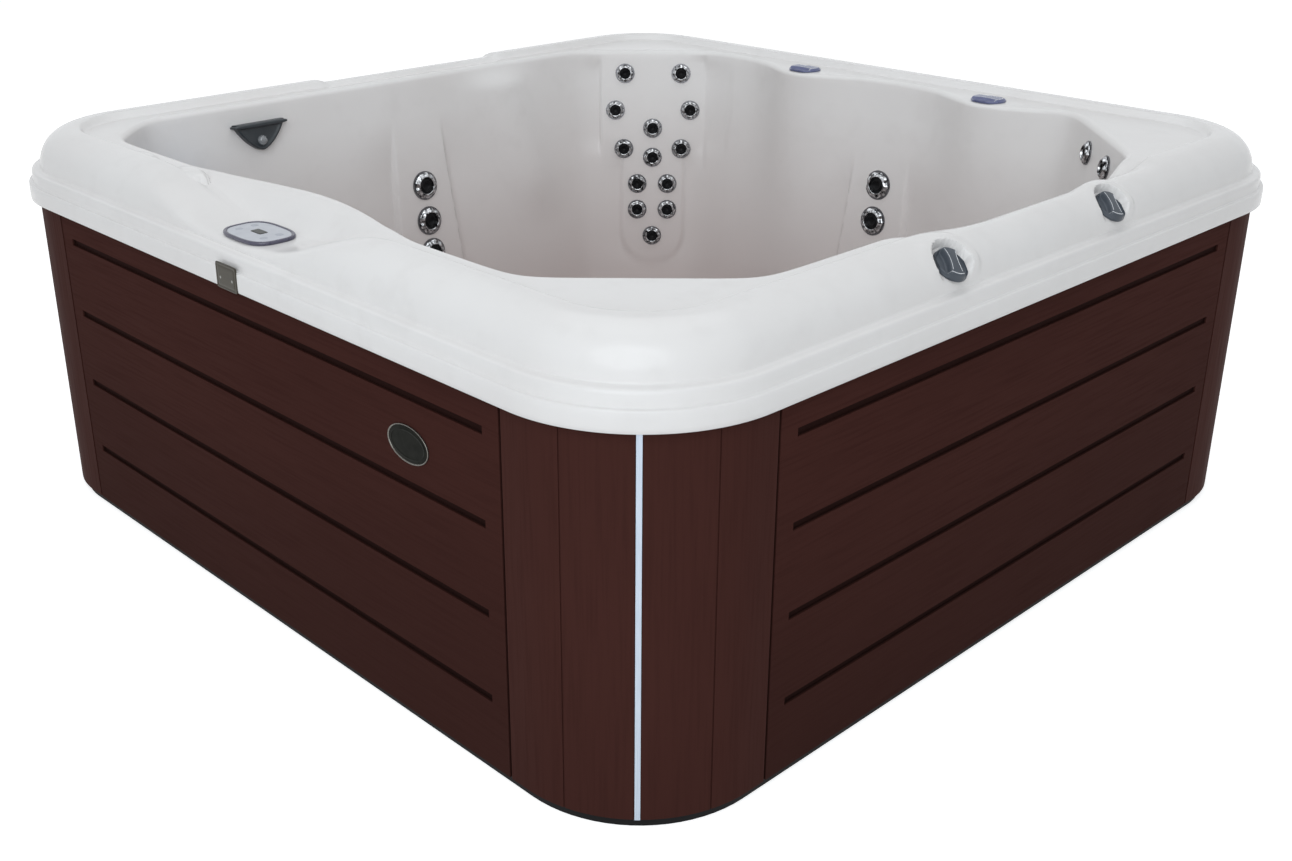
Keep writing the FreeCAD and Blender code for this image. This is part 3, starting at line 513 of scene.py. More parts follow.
@dataclass(frozen=True)
class GrainFinish(Finish):
    """Wood grain: long streaks along one axis, fine pores, painted shade that darkens it low down, and painted shade in
    the grooves.
    """

    axis: Axis = Axis.X
    streak: Colour = (0.03, 0.02, 0.02)
    face: Axis | None = None
    # Painted shade in the grooves: its colour, and the distances of the face in metres where it starts and where it is
    # strongest.
    groove_shade: Colour = (0.009, 0.005, 0.0045)
    groove_shade_top: float = 1.1242
    groove_shade_foot: float = 1.1195
    # Painted shade low down on the boards, and the height in metres where it starts.
    low_shade: Colour = (0.036, 0.0148, 0.0122)
    low_shade_from: float = 0.72
    streak_scale: float = 160.0
    streak_length: float = 28.0

    def stretched(self, ratio: float) -> tuple[float, float, float]:
        """Scales that draw a noise out along the grain."""
        return tuple(1.0 / ratio if axis == self.axis else 1.0 for axis in Axis)

    def dress(self, nodes: Nodes) -> None:
        """Add the finish's nodes to its material.

        Args:
            nodes: the material's nodes.
        """
        nodes.constant({"Metallic": 0.0, "Coat Weight": self.coat, "Specular IOR Level": self.specular})
        tone = nodes.spread(nodes.noise(self.cloud_scale, 3.0, self.stretched(3.0)), *CLOUD_BAND, 0.0, 1.0)
        base = nodes.blend(tone, self.colour, self.cloud)
        streaks = nodes.noise(self.streak_scale, 7.0, self.stretched(self.streak_length))
        darker = nodes.spread(streaks, 0.46, 0.72, 0.0, 0.5)
        base = nodes.blend(darker, base, self.streak)
        if self.face is not None:
            split = nodes.add("ShaderNodeSeparateXYZ")
            nodes.link(nodes.add("ShaderNodeTexCoord").outputs["Object"], split.inputs["Vector"])
            # Painted shade: the boards get darker from 0.72 m down to the floor.
            lower = nodes.spread(split.outputs["Z"], self.low_shade_from, 0.0, 0.0, 0.55)
            base = nodes.blend(lower, base, self.low_shade)
            # Painted shade in the grooves: the colour darkens as the face sets back from 1.1242 m to 1.1195 m.
            away = nodes.add("ShaderNodeMath", operation="ABSOLUTE")
            nodes.link(split.outputs[self.face.name], away.inputs[0])
            painted_groove_shade = nodes.spread(away.outputs[0], self.groove_shade_top, self.groove_shade_foot, 0.0, 0.72)
            base = nodes.blend(painted_groove_shade, base, self.groove_shade)
        nodes.link(base, nodes.shader.inputs["Base Color"])
        nodes.link(nodes.spread(streaks, *GLOSS_BAND, self.roughness - self.uneven, self.roughness + self.uneven),
                   nodes.shader.inputs["Roughness"])
        nodes.bump(streaks, 0.6, self.texture_depth)


@dataclass(frozen=True)
class BrushedFinish(Finish):
    """Brushed or drawn metal: fine lines along one axis in its gloss and its surface."""

    axis: Axis = Axis.Z
    line_scale: float = 900.0
    line_stretch: float = 0.02

    def dress(self, nodes: Nodes) -> None:
        """Add the finish's nodes to its material.

        Args:
            nodes: the material's nodes.
        """
        nodes.constant({"Metallic": self.metallic, "Coat Weight": self.coat})
        stretch = tuple(self.line_stretch if axis == self.axis else 1.0 for axis in Axis)
        lines = nodes.noise(self.line_scale, 3.0, stretch)
        nodes.link(nodes.blend(nodes.spread(lines, *CLOUD_BAND, 0.0, 1.0), self.colour, self.cloud),
                   nodes.shader.inputs["Base Color"])
        nodes.link(nodes.spread(lines, *GLOSS_BAND, self.roughness - self.uneven, self.roughness + self.uneven),
                   nodes.shader.inputs["Roughness"])
        nodes.bump(lines, 0.3, self.texture_depth)


@dataclass(frozen=True)
class ClearFinish(Finish):
    """Clear moulded lens: light passes through it, and its surface is faintly uneven."""

    clearness: float = 0.75
    index: float = 1.49

    def dress(self, nodes: Nodes) -> None:
        """Add the finish's nodes to its material.

        Args:
            nodes: the material's nodes.
        """
        nodes.constant({"Transmission Weight": self.clearness, "IOR": self.index})
        clouds = nodes.spread(nodes.noise(self.cloud_scale, 3.0), *CLOUD_BAND, 0.0, 1.0)
        nodes.link(nodes.blend(clouds, self.colour, self.cloud), nodes.shader.inputs["Base Color"])
        nodes.link(nodes.spread(clouds, 0.0, 1.0, self.roughness, self.roughness + self.uneven),
                   nodes.shader.inputs["Roughness"])
        nodes.bump(nodes.noise(self.texture_scale, 2.0), 0.3, self.texture_depth)


@lru_cache(maxsize=None)
def made_material(finish: Finish) -> bpy.types.Material:
    """Material of a finish, the same one each time.

    Args:
        finish: the finish to make.

    Returns:
        Its material.
    """
    nodes = Nodes(finish.name)
    finish.dress(nodes)
    return nodes.material


PEARL = PearlFinish("pearl_acrylic", (0.80, 0.785, 0.775), (0.83, 0.82, 0.812), 0.2, coat=0.06, cloud_scale=2.2,
                    texture_scale=260.0, texture_depth=0.00002, specular=0.3, vein=(0.765, 0.75, 0.74))
BOARD_X = GrainFinish("mahogany_board_x", (0.058, 0.0208, 0.0168), (0.049, 0.0176, 0.0143), 0.62, cloud_scale=2.5,
                      texture_depth=0.0001, axis=Axis.X, streak=(0.037, 0.0136, 0.0112), specular=0.01, face=Axis.Y)
BOARD_Y = GrainFinish("mahogany_board_y", (0.058, 0.0208, 0.0168), (0.049, 0.0176, 0.0143), 0.62, cloud_scale=2.5,
                      texture_depth=0.0001, axis=Axis.Y, streak=(0.037, 0.0136, 0.0112), specular=0.01, face=Axis.X)
BOARD_Z = GrainFinish("mahogany_corner", (0.059, 0.0215, 0.0174), (0.052, 0.019, 0.0154), 0.6, cloud_scale=2.5,
                      texture_depth=0.0001, axis=Axis.Z, streak=(0.041, 0.0152, 0.0125), specular=0.02)
TIMBER = GrainFinish("sawn_timber", (0.52, 0.36, 0.21), (0.60, 0.43, 0.27), 0.7, cloud_scale=4.0, texture_depth=0.0002,
                     axis=Axis.Z, streak=(0.36, 0.22, 0.11))
BASE_BLACK = Finish("base_black", (0.004, 0.004, 0.0045), (0.007, 0.007, 0.0075), 0.6, texture_depth=0.0001,
                    specular=0.15)
STRIP_METAL = BrushedFinish("strip_metal", (0.46, 0.53, 0.63), (0.55, 0.62, 0.71), 0.34, metallic=0.55, axis=Axis.Z)
# Painted reflections: the chrome's colour is clouds of near black and bright patches, at the size of the bezel's
# facets, for glints and dark reflections.
CHROME_PAINTED_GLINTS = Finish("jet_chrome", (0.006, 0.006, 0.007), (0.70, 0.71, 0.73), 0.07, metallic=1.0, cloud_scale=115.0,
                texture_depth=0.000006, uneven=0.05)
JET_RING = Finish("jet_ring", (0.15, 0.15, 0.16), (0.22, 0.22, 0.23), 0.25, metallic=0.8, texture_depth=0.00001)
JET_BLACK = Finish("jet_black", (0.005, 0.005, 0.006), (0.010, 0.010, 0.011), 0.3, texture_depth=0.00003, specular=0.1)
KNOB_SLATE = Finish("knob_slate", (0.052, 0.063, 0.079), (0.066, 0.078, 0.096), 0.36, cloud_scale=30.0, specular=0.35)
KNOB_BLUE = Finish("knob_blue", (0.10, 0.115, 0.23), (0.12, 0.135, 0.26), 0.3, coat=0.15, cloud_scale=30.0)
# Light strips on the knobs: the face's line, and painted highlights along the grip's edges.
KNOB_LINE_AND_HIGHLIGHT = Finish("knob_line_and_highlight", (0.62, 0.64, 0.67), (0.70, 0.72, 0.75), 0.25, metallic=0.4, cloud_scale=40.0)
CONTROL_RIM = Finish("control_rim", (0.055, 0.052, 0.085), (0.07, 0.066, 0.105), 0.28, coat=0.2, cloud_scale=25.0)
CONTROL_FACE = Finish("control_face", (0.50, 0.52, 0.57), (0.55, 0.57, 0.62), 0.35, cloud_scale=40.0)
CONTROL_PAD = Finish("control_pad", (0.43, 0.45, 0.50), (0.47, 0.49, 0.54), 0.55, cloud_scale=60.0)
DISPLAY = Finish("display_dark", (0.008, 0.010, 0.008), (0.013, 0.016, 0.012), 0.2, cloud_scale=60.0,
                 texture_depth=0.000004, specular=0.15)
PEWTER = BrushedFinish("pewter", (0.044, 0.039, 0.029), (0.068, 0.060, 0.046), 0.42, metallic=0.7, axis=Axis.X)
SCREW = Finish("screw_metal", (0.22, 0.22, 0.21), (0.30, 0.30, 0.29), 0.3, metallic=1.0, cloud_scale=200.0)
BADGE_FACE = Finish("badge_face", (0.008, 0.0085, 0.0065), (0.014, 0.0145, 0.0115), 0.34, cloud_scale=60.0,
                    specular=0.03)
BADGE_RIM = BrushedFinish("badge_rim", (0.12, 0.113, 0.10), (0.19, 0.18, 0.162), 0.26, metallic=0.9, axis=Axis.X)
SPOUT_DARK = Finish("spout_dark", (0.017, 0.023, 0.028), (0.025, 0.032, 0.038), 0.38, cloud_scale=30.0)
LENS = ClearFinish("lens_clear", (0.80, 0.84, 0.88), (0.88, 0.91, 0.94), 0.12, cloud_scale=80.0)
FILTER_CLOTH = Finish("filter_cloth", (0.74, 0.77, 0.80), (0.80, 0.82, 0.84), 0.85, texture_depth=0.0003,
                      cloud_scale=20.0)
FILTER_END = Finish("filter_end", (0.10, 0.20, 0.38), (0.12, 0.23, 0.42), 0.45, cloud_scale=20.0)
FITTING = Finish("fitting_grey", (0.36, 0.365, 0.38), (0.41, 0.415, 0.43), 0.42, cloud_scale=20.0)
MOTOR = Finish("motor_paint", (0.03, 0.03, 0.034), (0.045, 0.045, 0.05), 0.4, coat=0.2, cloud_scale=14.0)
PUMP_BLACK = Finish("pump_black", (0.022, 0.022, 0.024), (0.033, 0.033, 0.036), 0.45, cloud_scale=20.0)
IMPELLER = Finish("impeller_plastic", (0.38, 0.35, 0.27), (0.44, 0.41, 0.33), 0.4, cloud_scale=30.0)
HEATER = BrushedFinish("heater_steel", (0.48, 0.48, 0.48), (0.58, 0.58, 0.58), 0.3, metallic=1.0, axis=Axis.X)
BOX_PAINT = Finish("box_paint", (0.20, 0.215, 0.23), (0.24, 0.255, 0.27), 0.45, cloud_scale=10.0)
PIPE = Finish("pipe_white", (0.74, 0.75, 0.75), (0.79, 0.80, 0.80), 0.25, coat=0.1, cloud_scale=14.0)


# Shell


@dataclass
class Shell:
    """Moulded pearl shell: rolled rim with its lip and ledge, basin wall, seat, footwell and floor."""

    # Rim: half its side, corner radius, section from the lip to the crest, and the flat ledge inside it.
    rim_half: float = 1144.98
    rim_radius: float = 300.0
    rim_top: float = 924.0
    lip: tuple[tuple[float, float], ...] = ((14, 765), (2, 765), (0, 767), (0, 801), (2, 805), (9, 805.3), (10.2, 808),
                                            (10, 831), (14, 835), (25, 836), (30.5, 838.5))
    lip_top: float = 838.0
    roll_centre: float = 116.0
    roll_z: float = 839.0
    roll_radius: float = 85.0
    crest_foot: float = 152.0
    ledge_z: float = 907.0
    edge_round: float = 13.0

    # Basin: each wall's direction and distance, then the seat with its buckets, the footwell and the floor.
    sides: tuple[tuple[float, float], ...] = ((0, 955), (45, 1108), (90, 955), (135, 1141), (180, 955), (225, 1247),
                                              (270, 955), (315, 1141))
    softness: float = 60.0
    opening_half: float = 955.0
    wall_lean: float = 85.0
    seat_z: float = 235.0
    seat_round: float = 24.0
    bucket_depth: float = 64.0
    bucket_turn: float = 133.0
    bucket_reach: float = 72.0
    bucket_ease: float = 22.0
    footwell_half: float = 520.0
    footwell_lean: float = 40.0
    footwell_round: float = 26.0
    footwell_softness: float = 9.0
    floor_z: float = 16.0
    wall: float = 7.0

    # Mesh: columns round the tub, and the directions, half widths and weights of where they stand closer.
    columns: int = 1040
    detail: tuple[tuple[float, float, float], ...] = ((-92, 14, 1.2), (-15.2, 6, 2.2), (13.9, 6, 2.2), (105.0, 9, 0.8),
                                                      (67.4, 9, 0.8), (135, 13, 1.2), (179, 8, 0.8), (87.5, 8, 0.8))
    sharp: float = 48.0

    # Front: the lock plate's pocket, the control panel's shelf and the bulge behind it.
    lock_x: float = -13.0
    lock_half: float = 38.0
    lock_gap: float = 3.0
    lock_sink: float = 3.2
    control_x: float = -40.0
    shelf_z: float = 850.0
    shelf_side_rise: float = 125.0
    shelf_back_rise: float = 76.0
    shelf_round: float = 52.0
    shelf_half: float = 490.0
    bulge_y: float = -1413.0
    bulge_radius: float = 518.0
    bulge_blend: float = 70.0

    # Walls: columns under the diverter knobs, a fold in the left wall, and plates and moats round the jets.
    pilasters: tuple[float, float] = (-245.0, 381.0)
    pilaster_reach: float = 863.0
    pilaster_width: float = 146.0
    fold_y: float = 348.0
    fold_z: float = 779.0
    fold_slope: float = 0.30
    fold_width: float = 92.0
    fold_depth: float = 26.0
    plate_middle: float = 30.0
    plate_half: float = 166.0
    tongue_middle: float = 31.0
    tongue_half: float = 100.0
    tongue_z: float = 342.0
    far_moat: float = 11.0
    far_moat_width: float = 62.0
    jet_columns: tuple[tuple[int, float, float], ...] = ((180, 15.0, 800.0), (90, 42.0, 715.0))
    column_half: float = 79.0
    column_taper: float = 0.07
    column_z: float = 776.0
    column_moat: float = 19.0
    column_moat_width: float = 95.0

    # Crest: the air knobs' dishes with their collars, the right scoop, the left trough and the front tabs.
    air_knobs: tuple[tuple[float, float, float], ...] = ((1099, -298, 886), (1099, 273, 886))
    air_tilt: float = 36.0
    dish_floor: float = -12.6
    dish_reach: float = 43.0
    dish_side: float = 7.0
    dish_clear: float = 75.0
    collar_height: float = 10.0
    collar_turn: float = 0.75
    collar_fall: float = 0.003
    scoop_depth: float = 40.0
    scoop_ends: tuple[float, float] = (-340.0, 590.0)
    scoop_start: float = 1075.0
    trough_x: float = -1050.0
    trough_width: float = 52.0
    trough_depth: float = 10.0
    tabs: tuple[tuple[float, float], ...] = ((-582.0, -1004.0), (-386.0, -998.0))
    tab_half: tuple[float, float] = (58.0, 22.0)
    tab_height: float = 8.0

    def side_distance(self, direction: int) -> float:
        """Distance of the basin's side that faces a direction in degrees."""
        return dict(self.sides)[direction]

    def lean(self, z: Array) -> Array:
        """How far the basin wall stands in from its top edge at a height, as a negative distance."""
        return -self.wall_lean * (self.ledge_z - z) / (self.ledge_z - self.seat_z)

    def angles(self) -> Array:
        """Directions round the tub, closer together where the shell has detail.

        Returns:
            The directions in radians.
        """
        fine = np.linspace(-np.pi, np.pi, 20001)
        weight = np.ones_like(fine)
        for centre, half, extra in self.detail:
            turn = (fine - math.radians(centre) + np.pi) % (2.0 * np.pi) - np.pi
            weight = weight + extra * bell(turn, math.radians(half), 4.0)
        grown = np.concatenate([[0.0], np.cumsum(0.5 * (weight[1:] + weight[:-1]))])
        return np.interp(np.linspace(0.0, grown[-1], self.columns, endpoint=False), grown, fine)

    def rim_section(self) -> Array:
        """Section of the lip, bead, roll and crest as inset and height, from the lip's hidden edge to the ledge.

        Returns:
            Rows of inset and height.
        """
        lip = softened(self.lip, 1)
        turn = np.radians(np.linspace(5.0, 90.0, 30))
        roll = np.stack([self.roll_centre - self.roll_radius * np.cos(turn),
                         self.roll_z + self.roll_radius * np.sin(turn)], 1)
        top, foot = self.rim_top, self.ledge_z
        crest = softened([(120, top), (130, top), (137, top - 10), (143, foot), (self.crest_foot, foot)], 1)
        return np.concatenate([lip, roll, crest])

    def basin_radius(self, angle: Array, shift: Array) -> Array:
        """Distance to the basin's outline by direction, with its sides moved out by a shift."""
        return soft_polygon(angle, self.sides, shift, self.softness)

    def footwell_radius(self, angle: Array, shift: Array) -> Array:
        """Distance to the footwell's outline by direction, with its sides moved out by a shift."""
        sides = [(turn, self.footwell_half) for turn in (0, 90, 180, 270)]
        return soft_polygon(angle, sides, shift, self.footwell_softness)

    def ledge(self, angle: Array, shares: Array) -> Array:
        """Rows on the ledge, a share of the way from the crest's foot to the basin's edge.

        Args:
            angle: directions round the tub.
            shares: shares of the way to the basin's edge.

        Returns:
            Points by row and column.
        """
        foot = rounded_square(angle, self.rim_half - self.crest_foot, self.rim_radius - self.crest_foot)
        edge = self.basin_radius(angle, np.full_like(angle, self.edge_round))
        return polar(foot + shares[:, None] * (edge - foot), angle[None], np.float64(self.ledge_z))

    def rim_rows(self, angle: Array) -> Array:
        """Upper surface of the rim: its section carried round the rounded square, then half of the ledge.

        Args:
            angle: directions round the tub.

        Returns:
            Points by row and column.
        """
        section = self.rim_section()
        inset, height = section[:, :1], section[:, 1:]
        radius = rounded_square(angle[None], self.rim_half - inset, self.rim_radius - inset)
        return np.concatenate([polar(radius, angle[None], height), self.ledge(angle, np.linspace(0.08, 0.5, 8))])

    def seat_back(self, angle: Array) -> Array:
        """Height of the seat at its back edge, by direction: lower in the buckets along the far walls.

        Args:
            angle: directions round the tub.

        Returns:
            The seat's height in each direction.
        """
        turn = (angle - math.radians(self.bucket_turn) + np.pi) % (2.0 * np.pi) - np.pi
        inside = (math.radians(self.bucket_reach) - np.abs(turn)) / math.radians(self.bucket_ease)
        return self.seat_z - self.bucket_depth * smoothstep(inside)

    def basin_rows(self, angle: Array) -> tuple[Array, Array]:
        """Upper surface of the basin in two grids: rest of the ledge, edge, wall and cove; seat, footwell and floor.

        Args:
            angle: directions round the tub.

        Returns:
            The walls' grid and the floor's grid.
        """
        turn = np.radians(np.linspace(0.0, 90.0, 9))[:, None]
        low = self.seat_back(angle)
        edge_z = self.ledge_z - self.edge_round * (1.0 - np.cos(turn)) + 0.0 * angle
        edge_shift = self.edge_round * (1.0 - np.sin(turn)) + self.lean(edge_z)
        wall_z = edge_z[-1] + np.linspace(0.0, 1.0, 56)[1:, None] * (low + self.seat_round - edge_z[-1])
        cove_z = low + self.seat_round * (1.0 - np.sin(turn[1:]))
        cove_shift = self.lean(wall_z[-1]) - self.seat_round * (1.0 - np.cos(turn[1:]))
        height = np.concatenate([edge_z, wall_z, cove_z])
        shift = np.concatenate([edge_shift, self.lean(wall_z), cove_shift])
        sides = polar(self.basin_radius(np.broadcast_to(angle, shift.shape), shift), angle[None], height)

        well_edge = self.footwell_radius(angle, np.full_like(angle, self.footwell_round))
        seat_edge = np.linalg.norm(sides[-1, :, :2], axis=-1)
        share = np.linspace(0.0, 1.0, 15)[1:, None] ** 1.5
        reach = share * (seat_edge - well_edge)
        level = low + (self.seat_z - low) * ramp(reach, 10.0, 140.0) - 5.0 * np.sin(np.pi * share)
        seat = polar(seat_edge - reach, angle[None], level)
        turn = turn[:, 0]

        arc_z = self.seat_z - self.footwell_round * (1.0 - np.cos(turn[1:]))
        arc_shift = self.footwell_round * (1.0 - np.sin(turn[1:]))
        depth = self.seat_z - self.floor_z
        down_z = np.linspace(arc_z[-1], self.floor_z + self.footwell_round, 7)[1:]
        down_shift = -self.footwell_lean * (self.seat_z - down_z) / depth
        low_z = self.floor_z + self.footwell_round * (1.0 - np.sin(turn[1:]))
        low_shift = down_shift[-1] - self.footwell_round * (1.0 - np.cos(turn[1:]))
        height = np.concatenate([arc_z, down_z, low_z])[:, None]
        shift = np.concatenate([arc_shift, down_shift, low_shift])[:, None]
        well = polar(self.footwell_radius(np.broadcast_to(angle, (len(shift), len(angle))), shift), angle[None], height)
        floor = polar(np.array([[0.75], [0.5], [0.25], [0.06]]) * np.linalg.norm(well[-1, :, :2], axis=-1), angle[None],
                      np.float64(self.floor_z))
        walls = np.concatenate([self.ledge(angle, np.linspace(0.5, 1.0, 7)[:-1]), sides])
        return walls, np.concatenate([sides[-1:], seat, well, floor])

    def mould(self, points: Array) -> Array:
        """Points of the plain shell moved to each moulded form in turn, and then kept under the rim's top.

        Args:
            points: points of the shell.

        Returns:
            The moved points.
        """
        for form in (self.bulge, self.pilaster_columns, self.jet_plates, self.control_shelf, self.trough,
                     self.right_scoop, self.dishes, self.lock_pocket):
            points = form(points)
        x, y, z = np.moveaxis(points, -1, 0)
        return np.stack([x, y, soft_min(z, np.full_like(z, self.rim_top), 3.0)], -1)

    def lock_pocket(self, points: Array) -> Array:
        """Lip set back where the lock plate is let in.

        Args:
            points: points of the shell.

        Returns:
            The moved points.
        """
        x, y, z = np.moveaxis(points, -1, 0)
        inside = smoothstep((self.lock_half + self.lock_gap - np.abs(x - self.lock_x)) / self.lock_gap)
        back = np.maximum(self.lock_sink - self.rim_half - y, 0.0) * inside * (y < 0.0)
        return np.stack([x, y + back, z], -1)

    def bulge(self, points: Array) -> Array:
        """Front wall pushed in to a round bulge behind the control panel: the nearer of the wall and a cylinder.

        Args:
            points: points of the shell.

        Returns:
            The moved points.
        """
        x, y, z = np.moveaxis(points, -1, 0)
        away = np.clip((x - self.control_x) / self.bulge_radius, -1.0, 1.0)
        round_y = self.bulge_y + self.bulge_radius * np.sqrt(1.0 - away * away)
        wall_y = -self.opening_half - self.lean(np.maximum(z, self.seat_z))
        over = round_y - wall_y
        push = 0.5 * (over + np.hypot(over, self.bulge_blend)) * ramp(over, -160.0, -40.0)
        push = push * ramp(y, -1000.0, -955.0) * (y < -700.0) * ramp(z, 240.0, 320.0)
        return np.stack([x, y + push, z], -1)

    def pilaster_columns(self, points: Array) -> Array:
        """Soft columns in the back wall under the diverter knobs, and a soft fold in the left wall: bells in plan.

        Args:
            points: points of the shell.

        Returns:
            The moved points.
        """
        x, y, z = np.moveaxis(points, -1, 0)
        wall_y = self.opening_half + self.lean(np.maximum(z, self.seat_z))
        back = ramp(y, 997.0, 955.0) * (y > 700.0) * ramp(z, 205.0, 285.0)
        for centre in self.pilasters:
            y = y - np.maximum(wall_y - self.pilaster_reach, 0.0) * bell(x - centre, self.pilaster_width) * back
        fold = bell(y - self.fold_y - self.fold_slope * (self.fold_z - z), self.fold_width)
        fold = fold * ramp(z, 380.0, 580.0) * ramp(z, 900.0, 840.0)
        x = x + self.fold_depth * fold * (np.abs(x + 890.0) < 90.0) * (y < 640.0)
        return np.stack([x, y, z], -1)

    def jet_plates(self, points: Array) -> Array:
        """Flat plates behind the jets: the far corner's cluster on its true plane, the columns in a shallow moat.

        Args:
            points: points of the shell.

        Returns:
            The moved points.
        """
        x, y, z = np.moveaxis(points, -1, 0)
        out = np.array([-math.sqrt(0.5), math.sqrt(0.5), 0.0])
        along = (x + y) * math.sqrt(0.5)
        upper = np.abs(along - self.plate_middle) - self.plate_half
        tongue = np.hypot(along - self.tongue_middle, np.maximum(self.tongue_z - z, 0.0)) - self.tongue_half
        high = ramp(z, 515.0, 645.0)
        inside = np.maximum(smoothstep(0.5 - upper / 9.0) * high, smoothstep(0.5 - tongue / 18.0))
        beside = np.maximum(np.minimum(upper + 160.0 * (1.0 - high), tongue), 0.0)
        gap = self.side_distance(135) + self.lean(z) - (points @ out)
        moat = self.far_moat * (1.0 - inside) * bell(beside, self.far_moat_width, 1.5)
        moat = moat * ramp(z, 175.0, 345.0) * ramp(z, 893.0, 843.0)
        points = points + out * np.where((np.abs(gap) < 70.0) & (z < 893.0), gap * inside + moat, 0.0)[..., None]
        for direction, spot, top in self.jet_columns:
            on_left = direction == 180
            wall = np.array([-1.0, 0.0, 0.0]) if on_left else np.array([0.0, 1.0, 0.0])
            side = points[..., 1] if on_left else points[..., 0]
            distance = np.abs(side - spot) - self.column_half - self.column_taper * (self.column_z - z)
            moat = self.column_moat * ramp(z, top, top - 190.0) * ramp(distance, 0.0, 12.0)
            moat = moat * bell(np.maximum(distance, 0.0), self.column_moat_width, 1.5)
            near = ramp(np.abs(points @ wall - self.opening_half - self.lean(z)), 34.0, 10.0)
            moat = moat * near * ramp(z, 175.0, 295.0)
            points = points + wall * moat[..., None]
        return points

    def control_shelf(self, points: Array) -> Array:
        """Scoop in the front roll for the control panel: the lower of the rim and a shelf that ramps up round it.

        Args:
            points: points of the shell.

        Returns:
            The moved points.
        """
        x, y, z = np.moveaxis(points, -1, 0)
        away = np.abs(x - self.control_x)
        shelf = self.shelf_z + self.shelf_side_rise * ramp(away, 92.0, 522.0)
        shelf = shelf + self.shelf_back_rise * ramp(y, -990.0, -886.0)
        front = (y < -860.0) & (away < self.shelf_half) & (z > 800.0)
        lowered = soft_min(z, shelf, self.shelf_round)
        return np.stack([x, y, np.where(front, np.maximum(lowered, np.minimum(z, self.lip_top)), z)], -1)

    def trough(self, points: Array) -> Array:
        """Shallow trough along the left crest, and two small tabs inside the front crest.

        Args:
            points: points of the shell.

        Returns:
            The moved points.
        """
        x, y, z = np.moveaxis(points, -1, 0)
        length = ramp(y, -251.0, -227.0) * ramp(y, 386.0, 362.0)
        z = z - self.trough_depth * length * bell(x - self.trough_x, self.trough_width, 4.0) * (z > 850.0)
        for centre, row in self.tabs:
            lens = 1.0 - ((x - centre) / self.tab_half[0]) ** 2 - ((y - row) / self.tab_half[1]) ** 2
            tab = self.ledge_z + self.tab_height * smoothstep(1.8 * lens)
            z = np.where((z > 880.0) & (lens > 0.0), np.maximum(z, tab), z)
        return np.stack([x, y, z], -1)

    def right_scoop(self, points: Array) -> Array:
        """Right rim scooped out beside the seats: a drop that grows from the roll to the basin's edge.

        Args:
            points: points of the shell.

        Returns:
            The moved points.
        """
        x, y, z = np.moveaxis(points, -1, 0)
        first, last = self.scoop_ends
        along = ramp(y, first, first + 260.0) * ramp(y, last, last - 110.0)
        inward = ramp(x, self.scoop_start, self.scoop_start - 110.0) * (x > 800.0)
        return np.stack([x, y, z - self.scoop_depth * along * inward * ramp(z, 760.0, 900.0)], -1)

    def air_axes(self) -> tuple[Array, Array]:
        """An air knob's axis, and the direction across it that goes up to the crest."""
        tilt = math.radians(self.air_tilt)
        return np.array([math.sin(tilt), 0.0, math.cos(tilt)]), np.array([-math.cos(tilt), 0.0, math.sin(tilt)])

    def dishes(self, points: Array) -> Array:
        """Dish and raised collar for each air knob: heights along the knob's axis set to a floor, then to a ring.

        Args:
            points: points of the shell.

        Returns:
            The moved points.
        """
        axis, to_crest = self.air_axes()
        for spot in self.air_knobs:
            away = points - np.array(spot, float)
            height = away @ axis
            crest, side = away @ to_crest, away[..., 1]
            reach = np.hypot(crest, side)
            near = (height > -60.0) & (points[..., 2] > 830.0)
            round_share = 0.5 + 0.5 * np.cos(np.arctan2(side, crest) - self.collar_turn)
            round_share = round_share * ramp(points[..., 2], 842.0, 886.0)
            wall = ramp(reach, self.dish_reach, self.dish_reach + self.dish_side)
            collar = wall * (1.0 - ramp(reach, 62.0, 88.0)) * round_share
            dome = self.collar_height - self.collar_fall * np.maximum(reach - 48.0, 0.0) ** 2 - height
            rise = np.clip(dome, 0.0, 30.0) * collar * near
            sink = (self.dish_floor - height) * (1.0 - wall) * near
            points = points + axis * (rise + np.minimum(sink, 0.0))[..., None]
        return points

    def under(self, points: Array, step: int) -> Array:
        """Hidden underside: the upper surface moved in by the wall along its normals, with fewer rows.

        Args:
            points: grid of the upper surface.
            step: one row in so many is kept.

        Returns:
            The underside's grid.
        """
        normal = grid_normals(points)
        if normal[:, :, 2].mean() < 0.0:
            normal = -normal
        rows = np.unique(np.concatenate([np.arange(0, len(points), step), [len(points) - 1]]))
        return (points - self.wall * normal)[rows]

    def clear_dishes(self, points: Array) -> Array:
        """Underside kept a wall below the air knobs' dishes: heights along each knob's axis are cut off there.

        Args:
            points: grid of the rim's underside.

        Returns:
            The moved points.
        """
        axis, to_crest = self.air_axes()
        for spot in self.air_knobs:
            away = points - np.array(spot, float)
            height = away @ axis
            reach = np.hypot(away @ to_crest, away[..., 1])
            over = np.maximum(height - self.dish_floor + self.wall, 0.0) * (reach < self.dish_clear)
            points = points - axis * over[..., None]
        return points

